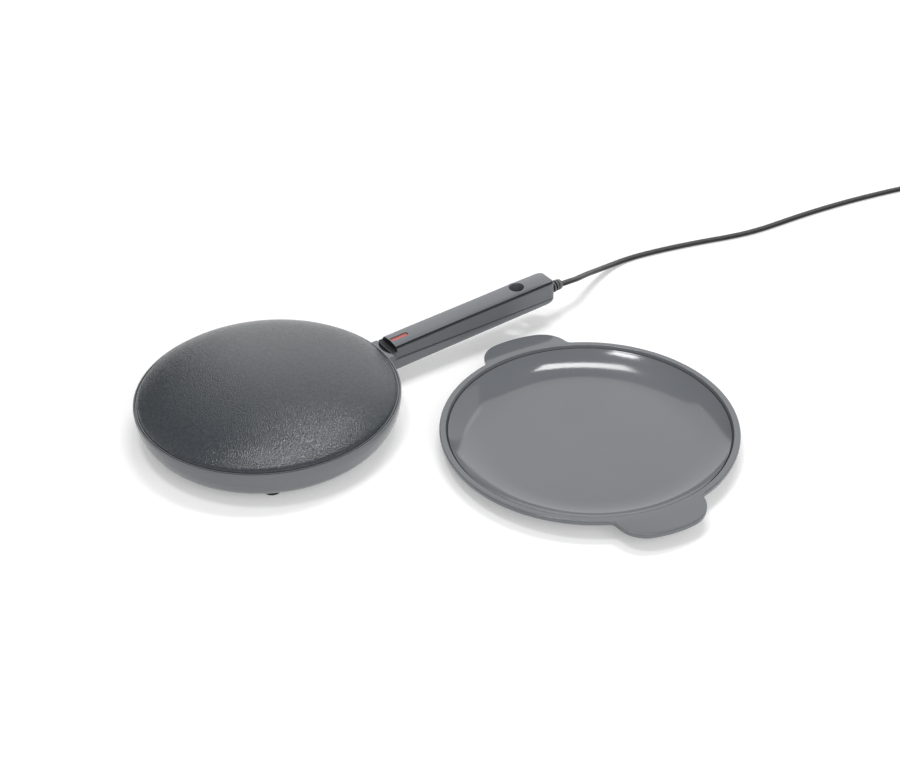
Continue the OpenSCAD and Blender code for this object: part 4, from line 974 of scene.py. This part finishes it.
# %% [markdown]
# ## The table and the light
#
# The set stands on plain white paper. It glows a little where the camera or a reflection sees it, less near
# the set and more far out, so that it stays white to the edges and still keeps the shadows. Brighter lamps
# would whiten it too, but they would also bleach the grey plastic.
#
# Two soft lamps hang overhead, and their mirror images are the bright strips in the dish's wall. Three cards
# behind and beside the set show only in reflections, which shapes glossy faces without a second shadow. A
# wide lamp beside the camera lifts the faces that look forward.

# %% Floor
FLOOR_HALF = 4
NEAR_GLOW, FAR_GLOW, GLOW_FROM, GLOW_TO = 0.26, 0.46, 0.33, 0.9
floor = mesh_from("floor", [(-FLOOR_HALF, -FLOOR_HALF, 0), (FLOOR_HALF, -FLOOR_HALF, 0),
                            (FLOOR_HALF, FLOOR_HALF, 0), (-FLOOR_HALF, FLOOR_HALF, 0)], faces=[(0, 1, 2, 3)])
floor_paper = bpy.data.materials.new("floor_paper")
floor_paper.use_nodes = True
floor_paper.node_tree.nodes.clear()
paper = Tree(floor_paper.node_tree)
rays = paper.tree.nodes.new("ShaderNodeLightPath")
seen_by_camera = Socket(paper, rays.outputs["Is Camera Ray"])
seen = seen_by_camera.math("MAXIMUM", Socket(paper, rays.outputs["Is Glossy Ray"]))
plain = paper.node("ShaderNodeBsdfDiffuse", values={"Color": (0.80, 0.80, 0.80, 1.0)})
from_middle = paper.node("ShaderNodeVectorMath", {"operation": "LENGTH"}, {
    0: paper.node("ShaderNodeTexCoord", out=3)}, out=1)
outer_glow = ramp(paper, from_middle, NEAR_GLOW, FAR_GLOW, GLOW_FROM, GLOW_TO)
glow = paper.node("ShaderNodeEmission", values={"Color": (1.0, 1.0, 1.0, 1.0), "Strength": seen * outer_glow})
both = paper.node("ShaderNodeAddShader", values={0: plain, 1: glow})
paper_out = paper.tree.nodes.new("ShaderNodeOutputMaterial")
paper.tree.links.new(both.plug, paper_out.inputs["Surface"])
floor.data.materials.append(floor_paper)
print("paper laid,", 2 * FLOOR_HALF, "m wide")


# %% Lamps
def lamp(name, place, aim, width, depth, watts):
    light = bpy.data.lights.new(name, "AREA")
    light.shape, light.size, light.size_y, light.energy = "RECTANGLE", width, depth, watts
    holder = bpy.data.objects.new(name, light)
    bpy.context.scene.collection.objects.link(holder)
    holder.location = place
    holder.rotation_mode = "QUATERNION"
    holder.rotation_quaternion = (Vector(aim) - Vector(place)).to_track_quat("-Z", "Y")
    return holder


def from_camera(x, y, z):
    """A place given to the right of the view, away from the camera, and up."""
    return tuple(TARGET + x * level + y * away + Vector((0, 0, z)))


lamp("overhead", from_camera(0.20, 0.32, 1.5), from_camera(0.18, 0.0, 0), 0.64, 0.24, 8.0)
lamp("second", from_camera(-0.28, -0.27, 1.5), from_camera(-0.1, 0.0, 0), 0.31, 0.20, 4.6)
lamp("back_card", from_camera(0.15, 1.9, 1.05), from_camera(0.15, 0.0, 0.3), 2.0, 2.0, 15.7)
lamp("left_card", from_camera(-1.6, 0.2, 0.7), from_camera(0, 0, 0.1), 0.8, 1.2, 1.6)
lamp("right_card", from_camera(1.3, 1.2, 0.8), from_camera(0, 0, 0), 1.0, 1.4, 3.0)
for card in ("back_card", "left_card", "right_card"):
    bpy.data.objects[card].visible_diffuse = False
lamp("front_fill", from_camera(0.6, -1.3, 0.75), from_camera(0.0, 0.0, 0), 1.2, 1.2, 11.0)
bpy.data.objects["front_fill"].visible_glossy = False
print("lamps:", ", ".join(sorted(light.name for light in bpy.data.lights)))

# %% The white room
# The room is white to the camera, half as bright where it lights the set, and dim in reflections.
SKY_SEEN, SKY_LIGHT, SKY_MIRRORED = 1.0, 0.48, 0.12
world = bpy.data.worlds.new("white_room")
bpy.context.scene.world = world
world.use_nodes = True
world.node_tree.nodes.clear()
room = Tree(world.node_tree)
rays = room.tree.nodes.new("ShaderNodeLightPath")
camera_ray = Socket(room, rays.outputs["Is Camera Ray"])
glossy_ray = Socket(room, rays.outputs["Is Glossy Ray"])
sky_strength = camera_ray * (SKY_SEEN - SKY_LIGHT) + SKY_LIGHT - glossy_ray * (SKY_LIGHT - SKY_MIRRORED)
sky = room.node("ShaderNodeBackground", values={"Color": (1.0, 1.0, 1.0, 1.0), "Strength": sky_strength})
room_out = room.tree.nodes.new("ShaderNodeOutputWorld")
room.tree.links.new(sky.plug, room_out.inputs["Surface"])
bpy.context.scene.view_settings.view_transform = "Standard"
print("stage set")
